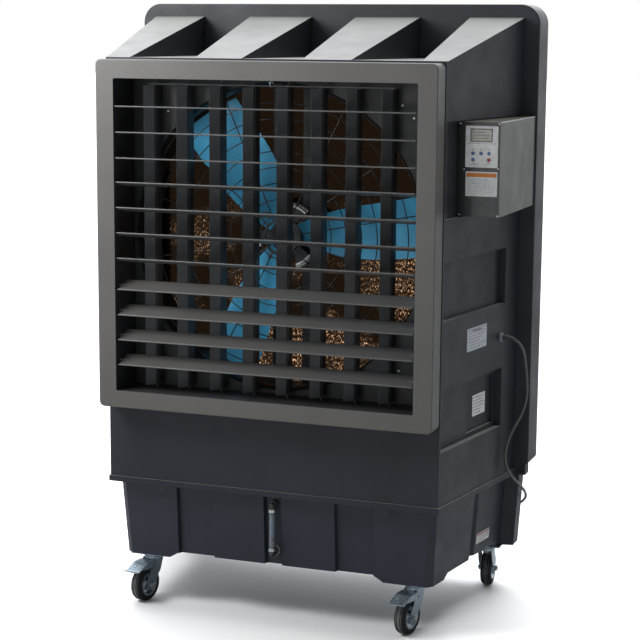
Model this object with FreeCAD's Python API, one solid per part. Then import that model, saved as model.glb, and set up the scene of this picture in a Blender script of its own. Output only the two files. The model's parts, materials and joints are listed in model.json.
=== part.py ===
"""Portable evaporative cooler: water tank on castors, flared housing, louvred outlet, axial fan and wet pad.

Millimetres, +Z up. The origin is on the floor under the middle of the cooler. X is to the right of a
person who faces the air outlet, and +Y points from the outlet to the wet pad at the back.
"""
import FreeCAD, Part
import math
import os

from FreeCAD import Rotation, Vector

# ---- driving dimensions -------------------------------------------------------------------------------
DEPTH = 690.0                 # front of the bezel to the tip of the drain spigot
FRONT = -DEPTH / 2            # y of the bezel's face

WHEEL_R = 50.0
FOOT_Z = 140.0                # underside of the tank's corner feet
TANK_Z = 155.0                # underside of the tank between the feet
TANK_RIM_Z = 362.0
LEDGE_Z = 378.0               # top of the lip round the foot of the housing
DECK_Z = 1560.0
RIDGE_Z = 1676.0              # top of the roof wedges where they meet the rear frame
FRAME_TOP_Z = 1713.0
FRAME_FOOT_Z = 391.0

BEZEL_W = 970.0
BEZEL_Z = (593.0, 1555.0)
BEZEL_DEPTH = 68.0
OPENING_W = 865.0
OPENING_Z = (641.0, 1504.5)

BODY_FRONT = 68.0             # distances behind the bezel's face
BODY_REAR = 567.0
BODY_FRONT_HALF = 487.0
BODY_REAR_HALF = 569.0
FRAME_HALF = 611.5
FRAME_DEPTH = 104.0

TANK_REAR = 668.0
FAN_Z = 1075.0
FAN_BACK = 200.0              # mid-plane of the fan
RING_R = 418.0
BLADE_COUNT = 3
LOUVRE_COUNT = 11
VANE_COUNT = 8
SKIN = 4.0                    # wall of the moulded housing
FIT = 0.05                    # radial clearance of a running fit

os.makedirs("parts", exist_ok=True)


# ---- helpers ------------------------------------------------------------------------------------------
def at(x, back, z):
    """A point given by its distance behind the bezel's face."""
    return Vector(x, FRONT + back, z)


def box(x0, x1, back0, back1, z0, z1):
    return Part.makeBox(x1 - x0, back1 - back0, z1 - z0, at(x0, back0, z0))


def rod(start, end, radius):
    return Part.makeCylinder(radius, (end - start).Length, start, end - start)


def tube(start, end, outer, inner):
    return rod(start, end, outer).cut(rod(start, end, inner))


def face_of(points):
    return Part.Face(Part.makePolygon(points + [points[0]]))


def prism(plan, z0, z1):
    """A vertical prism on a plan of (x, distance back) corners."""
    return face_of([at(x, back, z0) for x, back in plan]).extrude(Vector(0, 0, z1 - z0))


def inset(plan, distance):
    """The plan with every side moved inwards by distance. Corners run anticlockwise seen from above."""
    count = len(plan)
    moved = []
    for i in range(count):
        before, here, after = plan[i - 1], plan[i], plan[(i + 1) % count]
        ax, ay = here[0] - before[0], here[1] - before[1]
        bx, by = after[0] - here[0], after[1] - here[1]
        la, lb = math.hypot(ax, ay), math.hypot(bx, by)
        nax, nay = -ay / la, ax / la
        nbx, nby = -by / lb, bx / lb
        scale = distance / (1 + nax * nbx + nay * nby)
        moved.append((here[0] + (nax + nbx) * scale, here[1] + (nay + nby) * scale))
    return moved


def mirrored(shape):
    """The same shape on the other side of the middle plane."""
    return shape.mirror(Vector(0, 0, 0), Vector(1, 0, 0))


def fuse(shapes):
    whole = shapes[0].multiFuse(shapes[1:]) if len(shapes) > 1 else shapes[0]
    return whole.removeSplitter()


def rounded_slab(half_width, z0, z1, back0, back1, top_radius, foot_radius):
    """A slab facing the front, with rounded corners."""
    corners = ((-half_width, z0, foot_radius, 180), (half_width, z0, foot_radius, 270),
               (half_width, z1, top_radius, 0), (-half_width, z1, top_radius, 90))
    edges = []
    ends = []
    for x, z, radius, turn in corners:
        middle_x = x - math.copysign(radius, x)
        middle_z = z + radius if z == z0 else z - radius
        arc = []
        for angle in (turn, turn + 45, turn + 90):
            along = math.radians(angle)
            arc.append(at(middle_x + radius * math.cos(along), back0, middle_z + radius * math.sin(along)))
        edges.append(Part.Arc(*arc).toShape())
        ends.append((arc[0], arc[2]))
    for i, (_, leave) in enumerate(ends):
        edges.append(Part.LineSegment(leave, ends[(i + 1) % 4][0]).toShape())
    outline = Part.Wire(Part.__sortEdges__(edges))
    return Part.Face(outline).extrude(Vector(0, back1 - back0, 0))


def export(name, shape):
    shape.exportStep("parts/" + name + ".step")
    print("%-20s solids %3d  volume %10.0f" % (name, len(shape.Solids), shape.Volume))


def export_group(name, shapes):
    export(name, Part.makeCompound(shapes))


# ---- water tank ---------------------------------------------------------------------------------------
TANK_WALL = 5.0
LEG_BLOCK = 590.0             # where the wider rear leg starts


def tank_plan(z):
    """The tank's outline at height z. It narrows downwards, with upright channels between its blocks."""
    rise = (z - FOOT_Z) / (TANK_RIM_Z - FOOT_Z)
    front = 110.0 - 15.0 * rise
    half = 457.0 + 13.0 * rise
    flare = (BODY_REAR_HALF - BODY_FRONT_HALF) / (BODY_REAR - BODY_FRONT)
    channel = 13.0

    def side(back, step=0.0):
        return (half + flare * (back - front) - step, back)

    leg = 568.0 + 14.0 * rise
    right_side = [(half - 16, front), side(front + 16), side(352), side(358, 14), side(392, 14), side(400, 7),
                  side(LEG_BLOCK - 8, 7), (leg, LEG_BLOCK), (leg, TANK_REAR - 24), (leg - 24, TANK_REAR)]
    front_face = []
    for x0, x1 in ((-294, -182), (-28, 24), (182, 294)):
        front_face += [(x0, front), (x0 + 5, front + channel), (x1 - 5, front + channel), (x1, front)]
    left_side = [(-x, back) for x, back in reversed(right_side)]
    return left_side + front_face + right_side


def tank_block(z0, z1, wall=0.0):
    sections = []
    for z in (z0, z1):
        plan = inset(tank_plan(z), wall) if wall else tank_plan(z)
        sections.append(Part.makePolygon([at(x, back, z) for x, back in plan + [plan[0]]]))
    return Part.makeLoft(sections, True, True)


def foot_prism(x0, x1, back0, back1, chamfer=26.0):
    """Everything of the tank's outline that hangs below its floor at one corner, with sloping inner sides."""
    lower = Part.makePolygon([at(*p, FOOT_Z) for p in
                              ((x0, back0), (x1, back0), (x1, back1), (x0, back1), (x0, back0))])
    c = chamfer
    upper = Part.makePolygon([at(*p, TANK_Z + 1) for p in
                              ((x0 - c, back0 - c), (x1 + c, back0 - c), (x1 + c, back1 + c),
                               (x0 - c, back1 + c), (x0 - c, back0 - c))])
    return Part.makeLoft([lower, upper], True, True)


def make_tank():
    outer = tank_block(TANK_Z, TANK_RIM_Z)
    below = tank_block(FOOT_Z, TANK_Z + 1)
    foot_zones = [foot_prism(322, 600, 60, 192), foot_prism(420, 640, 548, 720)]
    feet = [below.common(zone) for zone in foot_zones]
    feet += [mirrored(foot) for foot in feet]
    tank = fuse([outer] + feet)
    cavity = tank_block(TANK_Z + TANK_WALL, TANK_RIM_Z + 1, TANK_WALL)
    tank = tank.cut(cavity)
    inlet_hole = rod(at(-620, INLET[1], INLET[2]), at(-540, INLET[1], INLET[2]), INLET_BODY_R)
    drain_hole = rod(at(DRAIN[0], TANK_REAR - 12, DRAIN[2]), at(DRAIN[0], TANK_REAR + 12, DRAIN[2]), INLET_BODY_R)
    for z in GAUGE_Z:
        tank = tank.cut(rod(at(GAUGE_X, 80, z), at(GAUGE_X, 140, z), 6.0))
    return tank.cut(inlet_hole).cut(drain_hole)


# ---- water fittings -----------------------------------------------------------------------------------
BSP_HALF_R = 10.48            # half-inch parallel pipe thread, outer radius
INLET_BODY_R = 12.0
INLET = (-609.0, 631.0, 300.0)
DRAIN = (330.0, DEPTH, 190.0)
ARM_PIVOT = (-540.0, 631.0, 300.0)
INLET_SEAT = -578.0           # the tank's side wall at the inlet


def make_inlet():
    x, back, z = INLET
    parts = [rod(at(x, back, z), at(INLET_SEAT - 5, back, z), BSP_HALF_R),
             rod(at(INLET_SEAT - 6, back, z), at(INLET_SEAT, back, z), 17.0),
             rod(at(INLET_SEAT - 1, back, z), at(INLET_SEAT + 26, back, z), INLET_BODY_R),
             rod(at(INLET_SEAT + 6, back, z), at(INLET_SEAT + 13, back, z), 16.0),
             box(ARM_PIVOT[0] - 18, ARM_PIVOT[0] + 6, back - 9, back + 9, z - 9, z + 9)]
    body = fuse(parts).cut(rod(at(x - 1, back, z), at(ARM_PIVOT[0] - 10, back, z), 6.5))
    slot = box(ARM_PIVOT[0] - 7, ARM_PIVOT[0] + 12, back - 3.2, back + 3.2, z - 20, z + 20)
    pin_hole = rod(at(ARM_PIVOT[0], back - 12, z), at(ARM_PIVOT[0], back + 12, z), 2.5 + FIT)
    return body.cut(slot).cut(pin_hole)


def make_drain():
    x, back, z = DRAIN
    parts = [rod(at(x, back, z), at(x, TANK_REAR + 3, z), BSP_HALF_R),
             rod(at(x, TANK_REAR, z), at(x, TANK_REAR + 4, z), 17.0),
             rod(at(x, TANK_REAR + 1, z), at(x, TANK_REAR - 14, z), INLET_BODY_R),
             rod(at(x, TANK_REAR - 6, z), at(x, TANK_REAR - 13, z), 16.0)]
    return fuse(parts).cut(rod(at(x, back + 1, z), at(x, TANK_REAR - 20, z), 6.5))


def make_float_arm():
    x, back, z = ARM_PIVOT
    pin = rod(at(x, back - 8.6, z), at(x, back + 8.6, z), 2.5)
    lever = box(x - 3.5, x + 96, back - 2.6, back + 2.6, z - 3.5, z + 3.5)
    ball = Part.makeSphere(30, at(x + 118, back, z))
    return fuse([lever, pin, ball])


# ---- housing ------------------------------------------------------------------------------------------
def wall_x(back):
    """Half width of the housing's outer face at a distance behind the bezel's face."""
    share = (back - BODY_FRONT) / (BODY_REAR - BODY_FRONT)
    return BODY_FRONT_HALF + (BODY_REAR_HALF - BODY_FRONT_HALF) * share


def body_plan(grow=0.0, rear=BODY_REAR):
    front = BODY_FRONT - grow
    return [(-wall_x(front) - grow, front), (wall_x(front) + grow, front),
            (wall_x(rear) + grow, rear), (-wall_x(rear) - grow, rear)]


def wall_slab(back0, back1, z0, z1, depth0, depth1):
    """A slab that follows the right wall, from depth0 to depth1 inside its outer face."""
    return prism([(wall_x(back0) - depth1, back0), (wall_x(back0) - depth0, back0),
                  (wall_x(back1) - depth0, back1), (wall_x(back1) - depth1, back1)], z0, z1)


POCKETS = (                   # back range, height range, depth of the recesses in each side wall
    (84.0, 552.0, 1150.0, 1405.0, 14.0),
    (76.0, 474.0, 880.0, 1038.0, 18.0),
    (76.0, 464.0, 527.0, 697.0, 18.0),
)
HATCH = (276.0, 446.0, 540.0, 682.0, 26.0)
RIDGES = (                    # inner and outer edge at the front, then at the back
    (88.0, 224.0, 68.0, 263.0),
    (419.0, 489.0, 410.0, 569.0),
)
RIDGE_FRONT = 78.0


def ridge(inner0, outer0, inner1, outer1, skin=0.0):
    """One hollow-backed wedge on the roof; skin > 0 gives its inside."""
    low = DECK_Z - 30
    front = RIDGE_FRONT + (12.0 if skin else 0.0)
    rear = BODY_REAR + (1.0 if skin else 0.0)
    lift = RIDGE_Z - DECK_Z
    corners = []
    for inner, outer, back in ((inner0, outer0, front), (inner1, outer1, rear)):
        edge = min(outer, wall_x(back)) - skin
        top = DECK_Z + lift * (back - RIDGE_FRONT) / (BODY_REAR - RIDGE_FRONT) - skin
        corners.append(Part.makePolygon([at(inner + skin, back, low), at(edge, back, low), at(edge, back, top),
                                         at(inner + skin, back, top), at(inner + skin, back, low)]))
    return Part.makeLoft(corners, True, True)


def make_body():
    outer = prism(body_plan(), LEDGE_Z, DECK_Z)
    lip = prism(body_plan(4.0), TANK_RIM_Z, LEDGE_Z)
    wedges = [ridge(*r) for r in RIDGES]
    wedges += [mirrored(w) for w in wedges]
    inner = prism(inset(body_plan(0.0, BODY_REAR + 30), SKIN), TANK_RIM_Z - 1, DECK_Z - SKIN)
    hollows = [ridge(*r, skin=SKIN) for r in RIDGES]
    hollows += [mirrored(h) for h in hollows]
    body = fuse([outer, lip] + wedges).cut(inner)
    seat = prism(body_plan(4.0), TANK_RIM_Z, TANK_RIM_Z + SKIN)
    body = body.fuse(seat.cut(prism(inset(body_plan(4.0, BODY_REAR + 80), 36.0), TANK_RIM_Z - 1, LEDGE_Z)))
    for hollow in hollows:
        body = body.cut(hollow)
    pans = []
    voids = []
    for back0, back1, z0, z1, depth in POCKETS + (HATCH,):
        pans.append(wall_slab(back0 - SKIN, back1 + SKIN, z0 - SKIN, z1 + SKIN, 1.0, depth + SKIN))
        voids.append(wall_slab(back0, back1, z0, z1, -2.0, depth))
    pans += [mirrored(p) for p in pans]
    voids += [mirrored(v) for v in voids]
    body = body.multiFuse(pans)
    for void in voids:
        body = body.cut(void)
    front_hole = box(-GRILLE_OUT, GRILLE_OUT, BODY_FRONT - 5, BODY_FRONT + SKIN + 5, GRILLE_Z[0], GRILLE_Z[1])
    gland_hole = rod(at(520, GLAND[1], GLAND[2]), at(600, GLAND[1], GLAND[2]), 8.0)
    return body.cut(front_hole).cut(gland_hole).removeSplitter()


def make_bezel():
    z0, z1 = BEZEL_Z
    shell = rounded_slab(BEZEL_W / 2, z0, z1, 0, BEZEL_DEPTH, 15, 15)
    face_edges = [e for e in shell.Edges if e.BoundBox.YMax < FRONT + 0.01]
    shell = shell.makeFillet(3.0, face_edges)
    cavity = rounded_slab(BEZEL_W / 2 - SKIN, z0 + SKIN, z1 - SKIN, SKIN, BEZEL_DEPTH + 1, 11, 11)
    hole = rounded_slab(OPENING_W / 2, OPENING_Z[0], OPENING_Z[1], -1, SKIN + 1, 5, 5)
    return shell.cut(cavity).cut(hole)


# ---- outlet duct with its louvres and vanes -----------------------------------------------------------
GRILLE_WALL = 3.5
GRILLE_OUT = OPENING_W / 2 + GRILLE_WALL
GRILLE_Z = (OPENING_Z[0] - GRILLE_WALL, OPENING_Z[1] + GRILLE_WALL)
GRILLE_BACK = (SKIN, 128.0)
LOUVRE_CHORD = 52.0
LOUVRE_BACK = 28.0
LOUVRE_TOP_Z = 1427.0
LOUVRE_PITCH = 70.2
LOUVRE_TILT = (4, 4, 4, 14, 15, 16, 16, -25, -28, -28, -28)   # front edge up, degrees
PIN_R = 3.0
VANE_BACK = 93.0
VANE_PLAN = ((-22.0, -31.0), (0.0, -12.0), (0.0, 33.0))   # bent plate, across and back from its pivot
VANE_THICK = 2.6
VANE_FIRST_X = -348.0
VANE_PITCH = 98.0
VANE_Z = (650.0, 1484.0)
LEVER = 12.0                  # the vanes' drive pins stand this far in front of their pivots
TIE_Z = (1487.0, 1490.0)


def louvre_z(i):
    return LOUVRE_TOP_Z - LOUVRE_PITCH * i


def vane_x(i):
    return VANE_FIRST_X + VANE_PITCH * i


def make_grille_frame():
    z0, z1 = GRILLE_Z
    frame = box(-GRILLE_OUT, GRILLE_OUT, GRILLE_BACK[0], GRILLE_BACK[1], z0, z1)
    frame = frame.cut(box(-OPENING_W / 2, OPENING_W / 2, 0, GRILLE_BACK[1] + 1, *OPENING_Z))
    holes = []
    for i in range(LOUVRE_COUNT):
        reach = GRILLE_OUT + 1
        holes.append(rod(at(-reach, LOUVRE_BACK, louvre_z(i)), at(reach, LOUVRE_BACK, louvre_z(i)), PIN_R + FIT))
    for i in range(VANE_COUNT):
        holes.append(rod(at(vane_x(i), VANE_BACK, z0 - 1), at(vane_x(i), VANE_BACK, z1 + 1), PIN_R + FIT))
    holes.append(rod(at(CRANK_X, VANE_BACK, z1 - 20), at(CRANK_X, VANE_BACK, z1 + 1), PIN_R + FIT))
    return frame.cut(Part.makeCompound(holes))


def make_louvre(i):
    half = LOUVRE_CHORD / 2
    front_half, rear_half, thick = OPENING_W / 2 - 4.5, OPENING_W / 2 - 13.0, 2.6
    z = louvre_z(i)
    plan = [(-front_half, LOUVRE_BACK - half + 2), (front_half, LOUVRE_BACK - half + 2),
            (rear_half, LOUVRE_BACK + half), (-rear_half, LOUVRE_BACK + half)]
    blade = prism(plan, z - thick / 2, z + thick / 2)
    bead_back = LOUVRE_BACK - half + 2.2
    bead = rod(at(-front_half, bead_back, z), at(front_half, bead_back, z), 2.2)
    reach = GRILLE_OUT - 0.8
    left = rod(at(-reach, LOUVRE_BACK, z), at(-rear_half + 8, LOUVRE_BACK, z), PIN_R)
    right = rod(at(rear_half - 8, LOUVRE_BACK, z), at(reach, LOUVRE_BACK, z), PIN_R)
    louvre = fuse([blade, bead, left, right])
    louvre.rotate(at(0, LOUVRE_BACK, z), Vector(1, 0, 0), -LOUVRE_TILT[i])
    return louvre


def make_vane(i):
    """A vertical plate bent along its height, so that its front leaf leans to the left."""
    x = vane_x(i)
    z0, z1 = VANE_Z
    tip, crease, rear = VANE_PLAN
    t = VANE_THICK / 2
    slant = math.atan2(crease[0] - tip[0], crease[1] - tip[1])
    off = (t * math.cos(slant), -t * math.sin(slant))
    mitre = t * math.tan(slant / 2)
    plan = [(tip[0] - off[0], tip[1] - off[1]), (tip[0] + off[0], tip[1] + off[1]),
            (crease[0] + t, crease[1] - mitre), (rear[0] + t, rear[1]),
            (rear[0] - t, rear[1]), (crease[0] - t, crease[1] + mitre)]
    blade = prism([(x + across, VANE_BACK + back) for across, back in plan], z0, z1)
    spine = rod(at(x, VANE_BACK, GRILLE_Z[0] + 0.5), at(x, VANE_BACK, GRILLE_Z[1] - 0.5), PIN_R)
    drive = rod(at(x, VANE_BACK - LEVER, z1 - 6), at(x, VANE_BACK - LEVER, TIE_Z[1] + 2.5), 2.0)
    return fuse([blade, spine, drive])


CRANK_X = -5.0
SLOT = (2.6, 3.6)             # half width and half length of the tie bar's slots


def make_tie_bar():
    x0, x1 = vane_x(0) - 12, vane_x(VANE_COUNT - 1) + 12
    back = VANE_BACK - LEVER
    bar = box(x0, x1, back - 7, back + 8, *TIE_Z)
    slots = []
    for x in [vane_x(i) for i in range(VANE_COUNT)] + [CRANK_X]:
        slots.append(box(x - SLOT[0], x + SLOT[0], back - SLOT[1] + 1, back + SLOT[1] + 1,
                         TIE_Z[0] - 1, TIE_Z[1] + 1))
    return bar.cut(Part.makeCompound(slots))


def make_crank():
    z = TIE_Z[1] + 4.0
    disc = rod(at(CRANK_X, VANE_BACK, z), at(CRANK_X, VANE_BACK, z + 5), 7.0)
    arm = box(CRANK_X - 4, CRANK_X + 4, VANE_BACK - LEVER, VANE_BACK, z, z + 5)
    tip = rod(at(CRANK_X, VANE_BACK - LEVER, z), at(CRANK_X, VANE_BACK - LEVER, z + 5), 4.0)
    pin = rod(at(CRANK_X, VANE_BACK - LEVER, TIE_Z[0] - 1.5), at(CRANK_X, VANE_BACK - LEVER, z + 1), 2.0)
    shaft = rod(at(CRANK_X, VANE_BACK, z + 2), at(CRANK_X, VANE_BACK, GRILLE_Z[1] + 12), PIN_R)
    return fuse([disc, arm, tip, pin, shaft])


def make_swing_motor():
    z = GRILLE_Z[1]
    case = rod(at(CRANK_X, VANE_BACK + 4, z), at(CRANK_X, VANE_BACK + 4, z + 24), 25.0)
    case = case.cut(box(CRANK_X - 40, CRANK_X + 40, 40, BODY_FRONT + SKIN + 1, z - 1, z + 30))
    ears = box(CRANK_X - 36, CRANK_X + 36, VANE_BACK - 3, VANE_BACK + 11, z, z + 2.5)
    bore = rod(at(CRANK_X, VANE_BACK, z - 1), at(CRANK_X, VANE_BACK, z + 13), PIN_R + FIT)
    return fuse([case, ears]).cut(bore)


# ---- fan ----------------------------------------------------------------------------------------------
SHROUD_BACK = GRILLE_BACK[1]
SHROUD_HALF = 466.0
SHROUD_Z = (608.0, 1538.0)
RING_REAR = 240.0
LIP_R = 431.0
MOTOR_R = 68.0
MOTOR_BACK = (254.0, 396.0)
SHAFT_R = 9.5


def spun(profile):
    """Turns a closed profile of (radius, distance back) corners about the fan's axis."""
    points = [at(r, back, FAN_Z) for r, back in profile]
    return face_of(points).revolve(at(0, 0, FAN_Z), Vector(0, 1, 0), 360)


def make_shroud():
    panel = box(-SHROUD_HALF, SHROUD_HALF, SHROUD_BACK, SHROUD_BACK + 3, *SHROUD_Z)
    panel = panel.cut(rod(at(0, SHROUD_BACK - 5, FAN_Z), at(0, SHROUD_BACK + 9, FAN_Z), RING_R + 6))
    back = SHROUD_BACK
    ring = spun([(LIP_R, back), (LIP_R - 7, back + 3), (RING_R + 1.5, back + 9), (RING_R, back + 16),
                 (RING_R, RING_REAR), (RING_R + 16, RING_REAR), (RING_R + 16, RING_REAR - 3),
                 (RING_R + 3, RING_REAR - 3), (RING_R + 3, back + 18), (LIP_R, back + 6)])
    stays = []
    for x in (-44.0, 44.0):
        reach = math.sqrt((RING_R + 8) ** 2 - 57 ** 2)
        stay = box(x - 13, x + 13, RING_REAR, RING_REAR + 14, FAN_Z - reach, FAN_Z + reach)
        stays.append(stay.cut(box(x - 10, x + 10, RING_REAR + 3, RING_REAR + 15, FAN_Z - 500, FAN_Z + 500)))
    return [fuse([panel, ring])] + stays


GUARD_BACK = 147.0
GUARD_RINGS = 9
GUARD_PITCH = 44.0
GUARD_SPOKES = 14


def make_guard():
    """Welded wire guard: concentric rings in front of straight spokes."""
    ring_wire, spoke_wire = 1.5, 1.8
    spoke_back = GUARD_BACK + ring_wire + spoke_wire - 0.9
    hub = at(0, spoke_back, FAN_Z)
    wires = [tube(at(0, spoke_back - 2.2, FAN_Z), at(0, spoke_back + 2.2, FAN_Z), 50.0, 44.0)]
    for i in range(GUARD_RINGS):
        centre = at(0, GUARD_BACK, FAN_Z)
        wires.append(Part.makeTorus(60.0 + GUARD_PITCH * i, ring_wire, centre, Vector(0, 1, 0)))
    for i in range(GUARD_SPOKES):
        turn = math.radians(360 / GUARD_SPOKES * i + 11)
        ways = Vector(math.cos(turn), 0, math.sin(turn))
        wires.append(rod(hub + ways * 47, hub + ways * (RING_R + 1.2), spoke_wire))
    return fuse(wires)


BLADE_ANGLES = [2 + 120 * i for i in range(BLADE_COUNT)]


def blade_section(radius, chord, pitch, camber, lead):
    """A thin cambered section across one blade, as two arcs."""
    thick = 4.0
    c, s = math.cos(math.radians(pitch)), math.sin(math.radians(pitch))

    def place(along, across):
        z = along * c + across * s + lead
        return Vector(radius, FRONT + FAN_BACK - along * s + across * c, FAN_Z + z)

    half = chord / 2
    face = Part.Arc(place(-half, 0), place(0, camber + thick / 2), place(half, 0)).toShape()
    back = Part.Arc(place(half, 0), place(0, camber - thick / 2), place(-half, 0)).toShape()
    return Part.Wire([face, back])


def make_impeller():
    blade = Part.makeLoft([blade_section(30, 66, 38, 4, 0), blade_section(110, 132, 30, 8, 3),
                           blade_section(260, 174, 24, 10, 12), blade_section(430, 186, 19, 9, 34)], True, False)
    blade = blade.common(rod(at(0, 140, FAN_Z), at(0, 260, FAN_Z), RING_R - 8))
    blades = []
    for angle in BLADE_ANGLES:
        turned = blade.copy()
        turned.rotate(at(0, FAN_BACK, FAN_Z), Vector(0, 1, 0), -angle)
        blades.append(turned)
    hub = rod(at(0, 182, FAN_Z), at(0, 222, FAN_Z), 44.0)
    boss = rod(at(0, 172, FAN_Z), at(0, 232, FAN_Z), 24.0)
    wheel = fuse([hub, boss] + blades)
    shaft = rod(at(0, 166, FAN_Z), at(0, MOTOR_BACK[0] + 46, FAN_Z), SHAFT_R)
    return [wheel.cut(shaft), shaft]


def make_motor():
    front, rear = MOTOR_BACK
    case = rod(at(0, front, FAN_Z), at(0, rear, FAN_Z), MOTOR_R)
    flange = box(-62, 62, front, front + 5, FAN_Z - 60, FAN_Z + 60)
    cowl = rod(at(0, rear, FAN_Z), at(0, rear + 26, FAN_Z), MOTOR_R + 3)
    bore = rod(at(0, front - 1, FAN_Z), at(0, front + 50, FAN_Z), SHAFT_R + FIT)
    terminal = box(-26, 26, front + 40, front + 100, FAN_Z + MOTOR_R - 6, FAN_Z + MOTOR_R + 26)
    return fuse([case, flange, cowl, terminal]).cut(bore)


# ---- rear frame, wet pad and water circuit ------------------------------------------------------------
PAD_HALF = 536.0
PAD_Z = (436.0, 1600.0)
PAD_BACK = (BODY_REAR + 8, BODY_REAR + 91)
FRAME_HOLE = (540.0, 430.0, 1640.0)


def make_rear_frame():
    back0, back1 = BODY_REAR, BODY_REAR + FRAME_DEPTH
    half, z0, z1 = FRAME_HOLE
    shell = rounded_slab(FRAME_HALF, FRAME_FOOT_Z, FRAME_TOP_Z, back0, back1, 55, 12)
    face_edges = [e for e in shell.Edges if e.BoundBox.YMax < FRONT + back0 + 0.01]
    shell = shell.makeFillet(4.0, face_edges)
    cavity = rounded_slab(FRAME_HALF - SKIN, FRAME_FOOT_Z + SKIN, FRAME_TOP_Z - SKIN, back0 + SKIN, back1 + 1, 51, 8)
    collar = box(-half - 3, half + 3, back0 + SKIN - 0.5, back1 - 12, z0 - 3, z1 + 3)
    frame = shell.cut(cavity).fuse(collar).cut(box(-half, half, back0 - 1, back1 + 1, z0, z1))
    foot = box(560, 604, back0, back0 + 40, TANK_RIM_Z, FRAME_FOOT_Z + 2)
    foot = foot.cut(rod(at(594, back0 - 1, 373), at(594, back0 + 6, 373), 4.5))
    skirt = box(-550, 550, back1 - 14, back1 - 11, TANK_RIM_Z, FRAME_FOOT_Z + 6)
    drip = box(-500, 500, back0 + 20, back1 - 22, FRAME_FOOT_Z - 1, FRAME_FOOT_Z + SKIN + 1)
    return fuse([frame, foot, mirrored(foot), skirt]).cut(drip)


def make_pad():
    return box(-PAD_HALF, PAD_HALF, PAD_BACK[0], PAD_BACK[1], *PAD_Z)


SLAT_COUNT = 41
SLAT_PITCH = 28.0


def make_rear_grille():
    half, z0, z1 = FRAME_HALF - SKIN - 1, FRAME_FOOT_Z + SKIN + 1, FRAME_TOP_Z - SKIN - 1
    back0, back1 = BODY_REAR + FRAME_DEPTH - 11, BODY_REAR + FRAME_DEPTH
    plate = rounded_slab(half, z0, z1, back0, back1, 50, 7)
    plate = plate.cut(box(-520, 520, back0 - 1, back1 + 1, 452, 1628))
    bars = []
    for i in range(SLAT_COUNT):
        z = 466 + SLAT_PITCH * i
        section = [(back0 + 2, z + 8), (back0 + 4.5, z + 8), (back1 - 2, z - 6), (back1 - 4.5, z - 6)]
        bars.append(face_of([at(-523, back, z_) for back, z_ in section]).extrude(Vector(1046, 0, 0)))
    for x in (-260, 0, 260):
        bars.append(box(x - 4, x + 4, back0 + 1, back1 - 1, 449, 1631))
    return fuse([plate] + bars)


PUMP_X = -455.0
PUMP_BACK = 545.0
PUMP_TOP = 262.0
TROUGH_Z = (1604.0, 1630.0)


def make_pump():
    floor = TANK_Z + TANK_WALL
    base = box(PUMP_X - 42, PUMP_X + 42, PUMP_BACK - 35, PUMP_BACK + 35, floor, floor + 12)
    cage = rod(at(PUMP_X, PUMP_BACK, floor + 10), at(PUMP_X, PUMP_BACK, floor + 40), 34.0)
    motor = rod(at(PUMP_X, PUMP_BACK, floor + 38), at(PUMP_X, PUMP_BACK, PUMP_TOP - 14), 27.0)
    outlet = rod(at(PUMP_X, PUMP_BACK, PUMP_TOP - 16), at(PUMP_X, PUMP_BACK, PUMP_TOP), 10.0)
    return fuse([base, cage, motor, outlet])


def make_pipework():
    rise = TROUGH_Z[0] + 13
    riser = rod(at(PUMP_X, PUMP_BACK, PUMP_TOP), at(PUMP_X, PUMP_BACK, rise), 9.0)
    elbow = Part.makeSphere(10.5, at(PUMP_X, PUMP_BACK, rise))
    arm = rod(at(PUMP_X, PUMP_BACK, rise), at(PUMP_X, PAD_BACK[0] + 24, rise), 9.0)
    trough = box(-530, 530, PAD_BACK[0] + 20, PAD_BACK[1] - 20, *TROUGH_Z)
    trough = trough.cut(box(-527, 527, PAD_BACK[0] + 23, PAD_BACK[1] - 23, TROUGH_Z[0] - 1, TROUGH_Z[1] - 3))
    return fuse([riser, elbow, arm, trough])


# ---- level gauge --------------------------------------------------------------------------------------
GAUGE_X = 2.0
GAUGE_BACK = 86.0
GAUGE_Z = (191.0, 332.0)      # heights of the lower and upper fittings
GAUGE_TUBE = (210.0, 313.0)
GAUGE_R = 7.5
GAUGE_BORE = 5.6
GAUGE_FLOAT_Z = 229.0


def make_gauge():
    x, back = GAUGE_X, GAUGE_BACK
    low, high = GAUGE_Z
    glass = tube(at(x, back, GAUGE_TUBE[0]), at(x, back, GAUGE_TUBE[1]), GAUGE_R, GAUGE_BORE)
    fittings = []
    for z, seat, far in ((low, GAUGE_TUBE[0], 128.0), (high, GAUGE_TUBE[1], 120.0)):
        away = 1.0 if seat > z else -1.0
        stem = rod(at(x, back, z), at(x, far, z), 6.0)
        neck = rod(at(x, back, z), at(x, back, seat), 7.0)
        knee = Part.makeSphere(7.6, at(x, back, z))
        collar = rod(at(x, back, seat - 9.0 * away), at(x, back, seat), 10.0)
        nut_back = 107.5 if z == low else 98.0
        nut = rod(at(x, nut_back, z), at(x, nut_back + 10, z), 10.5)
        fittings.append(fuse([stem, neck, knee, collar, nut]))
    return [glass] + fittings


def make_gauge_float():
    z = GAUGE_FLOAT_Z
    return rod(at(GAUGE_X, GAUGE_BACK, z - 7), at(GAUGE_X, GAUGE_BACK, z + 7), GAUGE_BORE - 0.5)


# ---- control box --------------------------------------------------------------------------------------
CONTROL_BACK = (179.0, BODY_REAR - 0.5)
CONTROL_X = 606.0
CONTROL_Z = (1152.0, 1402.0)
PANEL_THICK = 4.0
BUTTON_R = 5.0
BUTTON_TRAVEL = 0.8
BUTTONS = (                   # across and up from the panel's lower outer corner
    ("button_1", -73.0, 168.0), ("button_2", -51.5, 168.0), ("button_3", -30.0, 168.0),
    ("button_4", -73.0, 151.0), ("button_power", -30.0, 151.0),
)


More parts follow.
